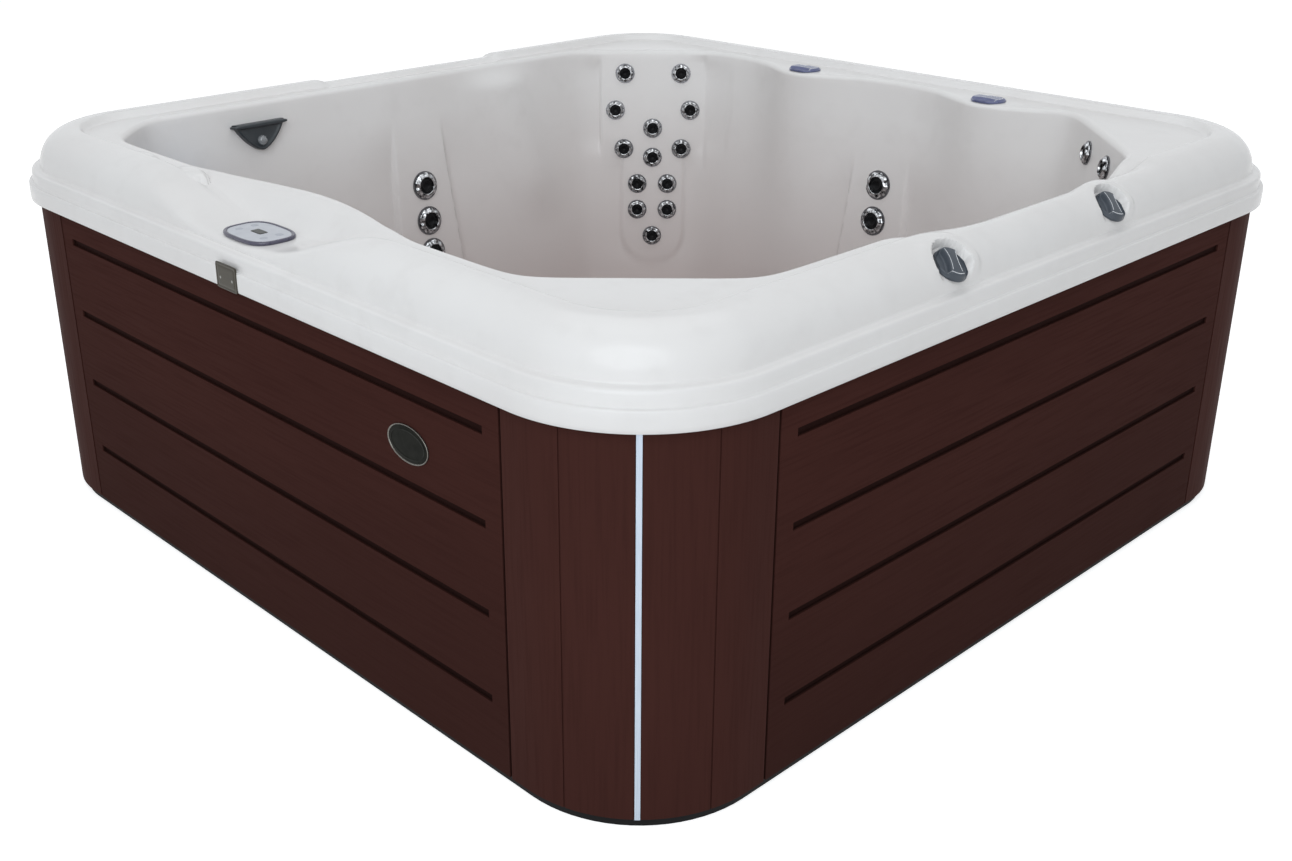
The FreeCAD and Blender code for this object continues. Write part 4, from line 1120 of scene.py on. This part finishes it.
    def build(self) -> None:
        """Make the rim, the walls and the floor, which meet on the ledge and at the back of the seat."""
        angle = self.angles()
        rim = self.mould(self.rim_rows(angle))
        maker = MeshMaker("shell_rim")
        maker.add(np.concatenate([rim, self.clear_dishes(self.under(rim, 6))[::-1]]), ring=True)
        maker.piece(PEARL, "tub", replaces=["acrylic_shell"], slot="acrylic", sharp=self.sharp)
        walls, floor = (self.mould(rows) for rows in self.basin_rows(angle))
        maker = MeshMaker("shell_walls")
        maker.add(np.concatenate([walls, self.under(walls, 7)[::-1]]), ring=True)
        maker.piece(PEARL, "tub", replaces=["acrylic_shell"], slot="acrylic", sharp=self.sharp)
        floor = floor[:, ::2]
        maker = MeshMaker("shell_floor")
        maker.add(np.concatenate([self.under(floor, 7)[::-1], floor]), cap_first=True, cap_last=True)
        maker.piece(PEARL, "tub", replaces=["acrylic_shell"], slot="acrylic", sharp=self.sharp)

    def wall_place(self, direction: int, sideways: float, z: float) -> Place:
        """Place on the basin wall: across along the wall, up it, and out into the water.

        Args:
            direction: the wall's outward direction in degrees.
            sideways: distance along the wall.
            z: height.

        Returns:
            The place.
        """
        turn = math.radians(direction)
        out = np.array([math.cos(turn), math.sin(turn), 0.0])
        side = np.array([out[1], -out[0], 0.0])
        inward = np.array([-out[0], -out[1], self.wall_lean / (self.ledge_z - self.seat_z)])
        inward /= np.linalg.norm(inward)
        distance = self.side_distance(direction) + self.lean(z)
        origin = out * distance + side * sideways + np.array([0.0, 0.0, z])
        return Place(origin, side, np.cross(inward, side), inward)


# Jets


@dataclass
class JetKind:
    """Sizes of one kind of jet face: a scalloped chrome bezel round a black nozzle."""

    bezel: float
    nozzle: float
    lobes: int
    back: float = 3.3
    height: float = 10.0

    def bezel_grid(self) -> Array:
        """Bezel: a domed ring turned round the axis, its outer edge rippled by a cosine and its dome dimpled.

        Returns:
            Points by row and column.
        """
        r, n, low = self.bezel, self.nozzle, self.back
        top = low + self.height
        profile = softened([(n - 4, low), (r - 1.5, low), (r, low + 1.5), (r - 0.8, low + 4), (r - 5, low + 7.2),
                            (n + 2.6, top), (n + 0.6, top), (n - 0.6, top - 2), (n - 1.6, low + 3),
                            (n - 4, low + 2)], 2)
        columns = self.lobes * 12
        wave = np.cos(np.arange(columns) * 2.0 * np.pi / 12.0)[None]
        outer = smoothstep((profile[:, :1] - n - 2.0) / (r - n - 2.0))
        dimple = bell(profile[:, :1] - (r + n) / 2.0 - 1.0, (r - n) / 3.2) * (profile[:, 1:] > low + 3.0)
        return turned(profile, columns, ripple=1.5 * wave * outer - 1.5 * outer,
                      lift=-2.6 * dimple * (0.5 - 0.5 * wave))

    def nozzle_grid(self) -> Array:
        """Nozzle: a turned disc with a raised ring round its mouth, and vanes between the ring and the bezel.

        Returns:
            Points by row and column.
        """
        n, low = self.nozzle, self.back
        profile = softened([(n - 2, low + 0.2), (n - 1.2, low + 1.5), (n - 1.4, low + 3.4), (n * 0.72, low + 3.8),
                            (n * 0.66, low + 6.2), (n * 0.52, low + 6.4), (n * 0.44, low + 3.0), (n * 0.2, low + 1.2),
                            (n * 0.05, low + 1.0)], 2)
        columns = 60
        vanes = np.maximum(np.cos(np.arange(columns) * 2.0 * np.pi * 6.0 / columns), 0.0)[None] ** 3
        between = bell(profile[:, :1] - n * 0.82, n * 0.1) * (profile[:, 1:] > low + 2.5)
        return turned(profile, columns, lift=1.8 * vanes * between)


@dataclass
class Jets:
    """All jet faces, each on its own turning body."""

    shell: Shell
    small: JetKind = field(default_factory=lambda: JetKind(28.0, 17.0, 8))
    large: JetKind = field(default_factory=lambda: JetKind(39.0, 24.0, 9))
    far_shift: float = 30.0
    far_pairs: tuple[tuple[float, float], ...] = ((838, 88), (725, 118), (605, 91), (495, 48), (413, 48))
    far_singles: tuple[float, ...] = (669, 578, 329)
    right_spots: tuple[float, ...] = (-60, 95)
    right_z: float = 842.0
    left_heights: tuple[float, ...] = (597, 494, 400)
    back_heights: tuple[float, ...] = (614, 510)

    def places(self) -> list[tuple[str, JetKind, Place]]:
        """Each jet's node, kind and place on the wall.

        Returns:
            Rows of node, kind and place.
        """
        spots = [(self.far_shift + sign * spread, z) for z, spread in self.far_pairs for sign in (-1, 1)]
        spots += [(self.far_shift, z) for z in self.far_singles]
        spots.sort(key=lambda spot: -spot[1])
        on_wall = self.shell.wall_place
        found = [(f"jet_far_{n}", self.small, on_wall(135, x, z)) for n, (x, z) in enumerate(spots, 1)]
        found += [(f"jet_right_{n}", self.small, on_wall(45, x, self.right_z))
                  for n, x in enumerate(self.right_spots, 1)]
        columns = (("jet_left", self.left_heights), ("jet_back", self.back_heights))
        for (name, heights), (direction, spot, _) in zip(columns, self.shell.jet_columns):
            found += [(f"{name}_{n}", self.large, on_wall(direction, spot, z)) for n, z in enumerate(heights, 1)]
        return found

    def build(self) -> None:
        """Make each jet's bezel and nozzle."""
        for node, kind, place in self.places():
            maker = MeshMaker(f"{node}_bezel")
            maker.add(place.put(kind.bezel_grid()), ring=True)
            maker.piece(CHROME_PAINTED_GLINTS, node, replaces=[node], slot="jet_chrome", sharp=50.0)
            maker = MeshMaker(f"{node}_nozzle")
            maker.add(place.put(kind.nozzle_grid()), cap_first=True, cap_last=True)
            maker.piece(JET_BLACK, node, slot="jet_black", sharp=50.0)


# Knobs


@dataclass
class Knob:
    """Round knob with a waisted grip across it, a light line on its face and painted highlights along the grip's edges.
    """

    node: str
    place: Place
    radius: float
    height: float
    low: float
    finish: Finish
    slot: str

    def half_grip(self, x: Array) -> Array:
        """Half the grip's width along the knob: narrow in the middle, wider by the square of the distance from it."""
        return self.radius * (0.26 + 0.17 * (x / self.radius) ** 2)

    def face_height(self, x: Array, y: Array) -> Array:
        """Height of the knob's face: a rounded disc, scooped on both sides of a grip that runs along x.

        Args:
            x: distance along the grip.
            y: distance across the grip.

        Returns:
            Heights above the knob's foot.
        """
        reach = np.hypot(x, y) / self.radius
        dome = self.height * 0.78 * (1.0 - 0.16 * reach ** 2) - 0.5 * self.height * smoothstep((reach - 0.9) / 0.1)
        beside = np.abs(y) - self.half_grip(x)
        scoop = smoothstep(beside / (0.14 * self.radius)) * (1.0 - smoothstep((reach - 0.84) / 0.12))
        return dome + self.height * 0.2 * (1.0 - smoothstep(beside / 6.0)) - 0.46 * self.height * scoop

    def build(self) -> None:
        """Make the knob, the light line on its face and the painted highlights along the grip's edges."""
        reach = np.concatenate([np.linspace(0.04, 0.86, 20), np.linspace(0.88, 1.0, 8)])[:, None] * self.radius
        angle = np.linspace(0.0, 2.0 * np.pi, 120, endpoint=False)[None]
        notch = 1.0 - 0.10 * bell(np.abs(np.sin(angle)) - 1.0, 0.12)
        x, y = reach * notch * np.cos(angle), reach * notch * np.sin(angle)
        top = np.stack([x, y, self.low + self.face_height(x, y)], -1)
        side = np.stack([np.concatenate([x[-1:], x[-1:] * 0.99]), np.concatenate([y[-1:], y[-1:] * 0.99]),
                         np.full((2, 120), self.low) + np.array([[0.8], [0.0]])], -1)
        maker = MeshMaker(self.node + "_cap")
        maker.add(self.place.put(np.concatenate([top, side])), cap_first=True, cap_last=True)
        maker.piece(self.finish, self.node, replaces=[self.node], slot=self.slot, sharp=60.0)
        turn = np.linspace(-0.62, 0.62, 40)
        reach = 0.80 * self.radius
        self.line("line", reach * np.cos(turn), reach * np.sin(turn), 0.022)
        along = np.linspace(-0.78, 0.60, 40) * self.radius
        # Painted highlights: light strips along both edges of the grip, a little inside them.
        for name, side in (("edge_highlight_a", 1.0), ("edge_highlight_b", -1.0)):
            self.line(name, along, side * (self.half_grip(along) - 0.035 * self.radius), 0.015)

    def line(self, name: str, x: Array, y: Array, share: float) -> None:
        """Thin light strip let into the face, for its line and for the painted highlights along the grip: a small round
        section along a path.

        Args:
            name: end of the piece's name.
            x: the path along the grip.
            y: the path across the grip.
            share: the line's half width, as a share of the knob's radius.
        """
        step_x, step_y = np.gradient(x), np.gradient(y)
        length = np.hypot(step_x, step_y)
        section = np.linspace(0.0, 2.0 * np.pi, 10, endpoint=False)[None]
        wide = share * self.radius * np.cos(section)
        z = self.low + self.face_height(x, y)
        grid = np.stack([x[:, None] + wide * (step_y / length)[:, None], y[:, None] - wide * (step_x / length)[:, None],
                         z[:, None] + share * self.radius * np.sin(section)], -1)
        maker = MeshMaker(f"{self.node}_{name}")
        maker.add(self.place.put(grid), cap_first=True, cap_last=True)
        maker.piece(KNOB_LINE_AND_HIGHLIGHT, self.node, slot=self.slot)


@dataclass
class Knobs:
    """Two air knobs in their dishes on the right rim, and two diverter knobs on the back ledge."""

    shell: Shell
    air_radius: float = 37.0
    air_height: float = 18.0
    air_low: float = -11.7
    air_turn: float = -28.0
    diverter_y: float = 915.0
    diverter_radius: float = 46.0
    diverter_height: float = 10.0
    diverter_low: float = 0.3

    def build(self) -> None:
        """Make the four knobs."""
        axis, to_crest = self.shell.air_axes()
        down = -to_crest
        for node, spot in zip(("air_knob_front", "air_knob_back"), self.shell.air_knobs):
            turn = math.radians(self.air_turn)
            across = down * math.cos(turn) + np.cross(axis, down) * math.sin(turn)
            place = Place(np.array(spot, float), across, np.cross(axis, across), axis)
            Knob(node, place, self.air_radius, self.air_height, self.air_low, KNOB_SLATE, "knob_grey").build()
        for node, x in zip(("diverter_knob_left", "diverter_knob_right"), self.shell.pilasters):
            place = Place.level(x, self.diverter_y, self.shell.ledge_z)
            Knob(node, place, self.diverter_radius, self.diverter_height, self.diverter_low, KNOB_BLUE,
                 "knob_blue").build()


# Control panel, plates and spout


@dataclass
class ControlPanel:
    """Oval control panel: dark rim, pale face, dark display and four soft buttons."""

    shell: Shell
    y: float = -1046.0
    long: float = 80.0
    short: float = 56.0
    squareness: float = 3.1
    display_long: float = 19.0
    display_short: float = 10.5
    button_x: float = 46.0
    button_y: float = 18.0
    button_half: float = 7.9
    button_names: tuple[str, ...] = ("jets", "light", "warmer", "cooler")

    def build(self) -> None:
        """Make the rim, face, display and buttons."""
        x, z = self.shell.control_x, self.shell.shelf_z
        place = Place.level(x, self.y, z)
        rim = softened([(7.5, 0), (1, 0), (0, 1.5), (0, 5), (1.6, 7.6), (4.2, 8), (6.6, 7), (7.5, 4)], 2)
        maker = MeshMaker("control_rim")
        maker.add(place.put(oval_ring(rim, self.long, self.short, 160, self.squareness)), ring=True)
        maker.piece(CONTROL_RIM, "tub", replaces=["control_bezel"], slot="control_rim")

        face = softened([(7.0, 2), (7.0, 6.2), (9.0, 6.7), (16, 7.0), (30, 7.1), (50, 7.1)], 1)
        maker = MeshMaker("control_plate")
        grid = oval_ring(face, self.long, self.short, 160, self.squareness)
        maker.add(place.put(grid), cap_first=True, cap_last=True)
        maker.piece(CONTROL_FACE, "tub", replaces=["control_face"], slot="control_grey")

        window = softened([(0, 6.2), (0, 7.4), (1.2, 7.9), (4, 7.9), (7, 7.9)], 1)
        maker = MeshMaker("control_display")
        grid = oval_ring(window, self.display_long, self.display_short, 96, 7.0)
        maker.add(place.put(grid), cap_first=True, cap_last=True)
        maker.piece(DISPLAY, "tub", replaces=["display_window"], slot="display")

        pad = softened([(0.4, 3.6), (0, 4.4), (0, 7.3), (1.4, 7.9), (4, 7.8), (7.5, 7.8)], 2)
        spots = [(sx * self.button_x, sy * self.button_y) for sy in (1, -1) for sx in (-1, 1)]
        for name, (dx, dy) in zip(self.button_names, spots):
            maker = MeshMaker(f"pad_{name}")
            spot = Place.level(x + dx, self.y + dy, z)
            grid = oval_ring(pad, self.button_half, self.button_half, 64, 2.4)
            maker.add(spot.put(grid), cap_first=True, cap_last=True)
            maker.piece(CONTROL_PAD, f"button_{name}", replaces=[f"button_{name}"], slot="button_grey")


@dataclass
class Plates:
    """Cover lock plate on the front lip and the bare oval badge on the front panel."""

    shell: Shell
    lock_y: float = -1145.0
    lock_z: float = 789.0
    lock_sunk: float = 3.0
    lock_short: float = 27.0
    badge_x: float = 543.0
    badge_y: float = -1125.0
    badge_z: float = 604.0
    badge_long: float = 60.0
    badge_short: float = 37.5

    @staticmethod
    def facing_front(x: float, y: float, z: float) -> Place:
        """Place on the front face: across to the right, up, and out towards the front."""
        right, back, up = np.eye(3)
        return Place(np.array([x, y, z]), right, up, -back)

    def build(self) -> None:
        """Make the lock plate and the badge."""
        lock = self.facing_front(self.shell.lock_x, self.lock_y + self.lock_sunk, self.lock_z)
        plate = softened([(0.3, 0), (0, 0.6), (0, 2.2), (0.8, 2.9), (3.5, 3.0), (4.5, 2.4), (6.5, 2.4), (7.5, 2.9),
                          (21, 2.9)], 1)
        maker = MeshMaker("lock_plate_front")
        grid = oval_ring(plate, self.shell.lock_half, self.lock_short, 200, 14.0)
        maker.add(lock.put(grid), cap_first=True, cap_last=True)
        maker.piece(PEWTER, "tub", replaces=["lock_plate"], slot="pewter")

        badge = self.facing_front(self.badge_x, self.badge_y, self.badge_z)
        rim = softened([(3, 0), (0.4, 0), (0, 1.0), (0.3, 2.8), (1.1, 3.5), (2.1, 3.0), (3, 2.0)], 2)
        maker = MeshMaker("badge_rim")
        maker.add(badge.put(oval_ring(rim, self.badge_long, self.badge_short, 160)), ring=True)
        maker.piece(BADGE_RIM, "tub", replaces=["badge_plate"], slot="pewter")
        face = softened([(2.6, 0.2), (2.6, 2.2), (9, 2.5), (10, 3.0), (11, 3.0), (12, 2.5), (20, 2.6), (33, 2.9)], 1)
        maker = MeshMaker("badge_face")
        grid = oval_ring(face, self.badge_long, self.badge_short, 160)
        maker.add(badge.put(grid), cap_first=True, cap_last=True)
        maker.piece(BADGE_FACE, "tub", slot="badge_dark")


@dataclass
class Spout:
    """Three-cornered spout on the left wall with a thick top bar, and its clear lens."""

    shell: Shell
    y: float = -500.0
    z: float = 857.0
    half: float = 80.0
    drop: float = 74.0
    depth: float = 20.0
    middle_drop: float = 26.0
    bar_half: float = 6.5
    lens_drop: float = 48.0

    def outline(self, columns: int) -> Array:
        """Blunt pick, point down: powers of the cosine and sine of a half turn, closed by a straight top.

        Args:
            columns: number of points.

        Returns:
            Rows of distance across and up.
        """
        turn = np.linspace(0.0, np.pi, columns * 3 // 4)
        c, s = np.cos(turn), np.sin(turn)
        side = np.stack([(self.half - 6.0) * np.sign(c) * np.abs(c) ** 1.3, -self.drop * np.abs(s) ** 1.6], -1)
        share = np.linspace(0.0, 1.0, columns // 4 + 2)[1:-1, None]
        return np.concatenate([side, side[-1:] * (1.0 - share) + side[:1] * share])

    def build(self) -> None:
        """Make the body, its top bar and the lens."""
        place = self.shell.wall_place(180, self.y, self.z)
        edge = self.outline(160)
        middle = np.array([0.0, -self.middle_drop])
        steps = softened([(1.0, -4.0), (1.0, self.depth - 4), (0.97, self.depth), (0.86, self.depth + 0.5),
                          (0.80, self.depth - 3.5), (0.5, self.depth - 4.5), (0.1, self.depth - 4.5)], 2)
        flat = middle + steps[:, :1, None] * (edge - middle)[None]
        grid = np.concatenate([flat, np.broadcast_to(steps[:, 1:, None], (*flat.shape[:2], 1))], -1)
        maker = MeshMaker("spout_body")
        maker.add(place.put(grid), cap_first=True, cap_last=True)
        maker.piece(SPOUT_DARK, "tub", replaces=["waterfall_spout"], slot="spout_dark")

        bar = softened([(0.3, 0), (0, self.depth - 2), (0.5, self.depth + 5), (3, self.depth + 8),
                        (5.5, self.depth + 8)], 2)
        maker = MeshMaker("spout_bar")
        centre = Place(place.put(np.array([0.0, -self.bar_half, 0.0])), place.across, place.up, place.out)
        maker.add(centre.put(oval_ring(bar, self.half, self.bar_half, 120, 3.2)), cap_first=True, cap_last=True)
        maker.piece(SPOUT_DARK, "tub", slot="spout_dark")

        lens = softened([(13, self.depth - 5), (13, self.depth), (11, self.depth + 5), (6, self.depth + 8.6),
                         (1, self.depth + 9)], 2)
        maker = MeshMaker("spout_lens_dome")
        spot = Place(place.put(np.array([0.0, -self.lens_drop, 0.0])), place.across, place.up, place.out)
        facets = 0.35 * np.cos(np.arange(64) * 2.0 * np.pi / 8.0)[None] * (lens[:, :1] > 3.0)
        maker.add(spot.put(turned(lens, 64, ripple=facets)), cap_first=True, cap_last=True)
        maker.piece(LENS, "tub", replaces=["spout_lens"], slot="lens_clear")


# Water fittings


@dataclass
class WaterFittings:
    """Pleated filter cartridge, suction covers on the footwell wall and the drain in its floor."""

    shell: Shell
    filter_place: float = -790.0
    filter_radius: float = 118.0
    filter_height: float = 470.0
    pleats: int = 72
    pleat_depth: float = 14.0
    suction_x: float = 250.0
    suction_radius: float = 70.0
    suction_height: float = 18.0
    suction_ribs: int = 22
    drain_radius: float = 48.0
    drain_height: float = 5.0
    drain_ribs: int = 16
    pump_y: float = -630.0
    pump_z: float = 100.0

    def filter(self) -> None:
        """Cartridge: a cylinder whose radius goes in and out with the pleats, between two smooth end caps."""
        place = Place.level(self.filter_place, self.filter_place, self.shell.seat_z)
        r, top = self.filter_radius, self.filter_height
        columns = self.pleats * 6
        wave = np.abs((np.arange(columns) / 6.0) % 1.0 - 0.5)[None] * 2.0
        profile = np.array([(r - 40, 22), (r - 2, 22), (r - 2, 24), (r - 2, top - 24), (r - 2, top - 22),
                            (r - 40, top - 22)], float)
        depth = np.array([0, 0, 1, 1, 0, 0], float)[:, None]
        maker = MeshMaker("filter_pleats")
        grid = turned(profile, columns, ripple=-self.pleat_depth * depth * wave)
        maker.add(place.put(grid), cap_first=True, cap_last=True)
        maker.piece(FILTER_CLOTH, "filter_cartridge", replaces=["filter_cartridge"], slot="filter_cloth", sharp=30.0)
        ends = {"filter_foot": [(4, 0), (r - 3, 0), (r, 3), (r, 20), (r - 3, 24), (r - 30, 24), (r - 42, 23), (4, 23)],
                "filter_head": [(4, top - 23), (r - 30, top - 24), (r - 3, top - 24), (r, top - 20), (r, top - 3),
                                (r - 4, top), (48, top + 2), (40, top + 8), (38, top + 30), (34, top + 39),
                                (20, top + 40), (4, top + 40)]}
        for name, corners in ends.items():
            maker = MeshMaker(name)
            maker.add(place.put(turned(softened(corners, 2), 96)), cap_first=True, cap_last=True)
            maker.piece(FILTER_END, "filter_cartridge", slot="filter_cloth")

    def cover(self, name: str, place: Place, radius: float, height: float, ribs: int) -> MeshMaker:
        """Low dome with radial ribs: a turned dome lowered by a power of a cosine between its hub and its rim.

        Args:
            name: the piece's name.
            place: where the cover sits.
            radius: its outer radius.
            height: its height.
            ribs: number of ribs.

        Returns:
            A maker that holds the cover's mesh.
        """
        profile = softened([(radius - 1, 0), (radius, 1), (radius - 1, height * 0.35),
                            (radius - height * 0.9, height * 0.9), (radius * 0.6, height), (radius * 0.3, height),
                            (2, height)], 3)
        columns = ribs * 10
        wave = 0.5 + 0.5 * np.cos(np.arange(columns) * 2.0 * np.pi / 10.0)[None]
        band = smoothstep((profile[:, :1] - radius * 0.28) / 5.0) * smoothstep((radius * 0.82 - profile[:, :1]) / 5.0)
        maker = MeshMaker(name)
        grid = turned(profile, columns, lift=-0.45 * height * band * wave ** 2)
        maker.add(place.put(grid), cap_first=True, cap_last=True)
        return maker

    def build(self) -> None:
        """Make the filter, both suction covers and the drain."""
        self.filter()
        shell = self.shell
        tilt = math.atan2(shell.footwell_lean, shell.seat_z - shell.floor_z)
        out = np.array([0.0, math.cos(tilt), math.sin(tilt)])
        up = np.array([0.0, -math.sin(tilt), math.cos(tilt)])
        edge = np.array([0.0, -shell.footwell_half, shell.seat_z])
        middle = edge + up * ((np.array([0.0, self.pump_y, self.pump_z]) - edge) @ up)
        for side, name in ((-1.0, "left"), (1.0, "right")):
            place = Place(middle + np.array([side * self.suction_x, 0.0, 0.0]), np.cross(up, out), up, out)
            maker = self.cover(f"suction_grille_{name}", place, self.suction_radius, self.suction_height,
                               self.suction_ribs)
            maker.piece(FITTING, "tub", replaces=["suction_covers"], slot="fitting_grey")
        maker = self.cover("drain_grille", Place.level(0.0, 0.0, shell.floor_z), self.drain_radius, self.drain_height,
                           self.drain_ribs)
        maker.piece(FITTING, "tub", replaces=["floor_drain"], slot="fitting_grey")


# Carried-over parts


@dataclass
class CarriedParts:
    """Parts that keep their own solid shape and get a finish."""

    finishes: dict[str, Finish] = field(default_factory=lambda: {
        "base_pan": BASE_BLACK, "timber_frame": TIMBER, "front_panel": BOARD_X, "back_panel": BOARD_X,
        "left_panel": BOARD_Y, "right_panel": BOARD_Y, "corner_panels": BOARD_Z, "corner_strips": STRIP_METAL,
        "lock_screws": SCREW, "air_valves": FITTING, "diverter_valves": FITTING, "jet_bodies_small": JET_RING,
        "jet_bodies_large": JET_RING, "pump_motor": MOTOR, "pump_wet_end": PUMP_BLACK, "pump_impeller": IMPELLER,
        "heater": HEATER, "control_box": BOX_PAINT, "suction_pipe": PIPE, "pressure_pipe": PIPE, "return_pipe": PIPE})

    def build(self) -> None:
        """Give each part its finish."""
        for node, finish in self.finishes.items():
            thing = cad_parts[node]
            thing.data.materials.clear()
            thing.data.materials.append(finish.material())
            LOG.info("%s: kept, with %s", node, finish.name)


# Studio


@dataclass(frozen=True)
class Lamp:
    """Large soft lamp: its spot and width in metres, its power in watts and its colour."""

    name: str
    spot: tuple[float, float, float]
    width: float
    power: float
    colour: Colour


@dataclass
class Studio:
    """Pale floor, soft light and the camera."""

    camera_spot: tuple[float, float, float] = (2539.9, -2532.3, 1701.4)
    forward: tuple[float, float, float] = (-0.66354712, 0.64161107, -0.38476026)
    lens: float = 41.475
    shift: tuple[float, float] = (0.0201, -0.0261)
    sensor: float = 36.0
    far_clip: float = 200.0
    sky_colour: Colour = (0.96, 0.98, 1.0)
    sky_light: float = 0.43
    floor_half: float = 30.0
    floor_tone: float = 0.86
    floor_glow: float = 0.66
    aim_height: float = 0.6
    lamps: tuple[Lamp, ...] = (Lamp("key", (3.7, -4.7, 3.9), 5.6, 196.0, (0.92, 0.965, 1.0)),
                               Lamp("top", (-0.3, 0.3, 4.6), 4.4, 38.0, (0.98, 0.99, 1.0)))

    def build(self) -> None:
        """Make the floor, the light and the camera."""
        self.floor()
        self.world()
        for lamp in self.lamps:
            self.hang(lamp)
        self.camera()

    def floor(self) -> None:
        """Large pale floor that keeps the tub's soft shadow."""
        size = self.floor_half
        mesh = bpy.data.meshes.new("floor")
        mesh.from_pydata([(-size, -size, 0), (size, -size, 0), (size, size, 0), (-size, size, 0)], [], [(0, 1, 2, 3)])
        nodes = Nodes("floor_white")
        nodes.constant({"Base Color": (self.floor_tone, self.floor_tone, self.floor_tone, 1.0), "Roughness": 0.9,
                        "Specular IOR Level": 0.0, "Emission Color": (1.0, 1.0, 1.0, 1.0)})
        glow = nodes.add("ShaderNodeMath", operation="MULTIPLY")
        glow.inputs[1].default_value = self.floor_glow
        nodes.link(self.seen(nodes.tree), glow.inputs[0])
        nodes.link(glow.outputs[0], nodes.shader.inputs["Emission Strength"])
        mesh.materials.append(nodes.material)
        thing = bpy.data.objects.new("floor", mesh)
        bpy.context.scene.collection.objects.link(thing)

    def world(self) -> None:
        """Even sky light, white where the camera sees it, and in metal and clear pieces."""
        world = bpy.data.worlds.new("studio")
        world.use_nodes = True
        tree = world.node_tree
        sky = tree.nodes["Background"]
        sky.inputs["Color"].default_value = (*self.sky_colour, 1.0)
        level = tree.nodes.new("ShaderNodeMapRange")
        level.inputs["To Min"].default_value = self.sky_light
        level.inputs["To Max"].default_value = 1.0
        tree.links.new(self.seen(tree), level.inputs["Value"])
        tree.links.new(level.outputs["Result"], sky.inputs["Strength"])
        bpy.context.scene.world = world

    @staticmethod
    def seen(tree: bpy.types.NodeTree) -> bpy.types.NodeSocket:
        """Socket that is 1 for rays from the camera, from metal and through clear pieces: the largest of the three.

        Args:
            tree: node tree to add to.

        Returns:
            The socket.
        """
        path = tree.nodes.new("ShaderNodeLightPath")
        share = path.outputs["Is Camera Ray"]
        for kind in ("Is Glossy Ray", "Is Transmission Ray"):
            larger = tree.nodes.new("ShaderNodeMath")
            larger.operation = "MAXIMUM"
            tree.links.new(share, larger.inputs[0])
            tree.links.new(path.outputs[kind], larger.inputs[1])
            share = larger.outputs[0]
        return share

    def hang(self, lamp: Lamp) -> None:
        """Hang a lamp and aim it at the tub.

        Args:
            lamp: the lamp to hang.
        """
        light = bpy.data.lights.new(lamp.name, "AREA")
        light.shape = "DISK"
        light.size = lamp.width
        light.energy = lamp.power
        light.color = lamp.colour
        thing = bpy.data.objects.new(lamp.name, light)
        thing.visible_camera = False
        bpy.context.scene.collection.objects.link(thing)
        spot = np.array(lamp.spot)
        away = spot - np.array([0.0, 0.0, self.aim_height])
        back = away / np.linalg.norm(away)
        right = np.cross([0.0, 0.0, 1.0], back)
        right /= np.linalg.norm(right)
        self.aim(thing, right, np.cross(back, right), back, spot)

    @staticmethod
    def aim(thing: bpy.types.Object, right: Array, up: Array, back: Array, spot: Array) -> None:
        """Place an object by its three directions and its spot.

        Args:
            thing: object to place.
            right: its own +X.
            up: its own +Y.
            back: its own +Z.
            spot: where it stands, in metres.
        """
        matrix = np.eye(4)
        matrix[:3] = np.stack([right, up, back, spot], 1)
        thing.matrix_world = Matrix(matrix.tolist())

    def camera(self) -> None:
        """Camera at the photograph's spot and angle."""
        data = bpy.data.cameras.new("photo_camera")
        data.sensor_fit = "HORIZONTAL"
        data.sensor_width = self.sensor
        data.lens = self.lens
        data.shift_x, data.shift_y = self.shift
        data.clip_end = self.far_clip
        thing = bpy.data.objects.new("photo_camera", data)
        bpy.context.scene.collection.objects.link(thing)
        forward = np.array(self.forward) / np.linalg.norm(self.forward)
        right = np.cross(forward, [0.0, 0.0, 1.0])
        right /= np.linalg.norm(right)
        self.aim(thing, right, np.cross(right, forward), -forward, np.array(self.camera_spot) * MM)
        bpy.context.scene.camera = thing


def main() -> None:
    """Build the tub's pieces in order, then the studio."""
    logging.basicConfig(level=logging.INFO, format="%(message)s")
    bpy.context.scene.view_settings.view_transform = "Standard"
    shell = Shell()
    shell.build()
    Jets(shell).build()
    Knobs(shell).build()
    ControlPanel(shell).build()
    Plates(shell).build()
    Spout(shell).build()
    WaterFittings(shell).build()
    CarriedParts().build()
    Studio().build()


if __name__ == "__main__":
    main()
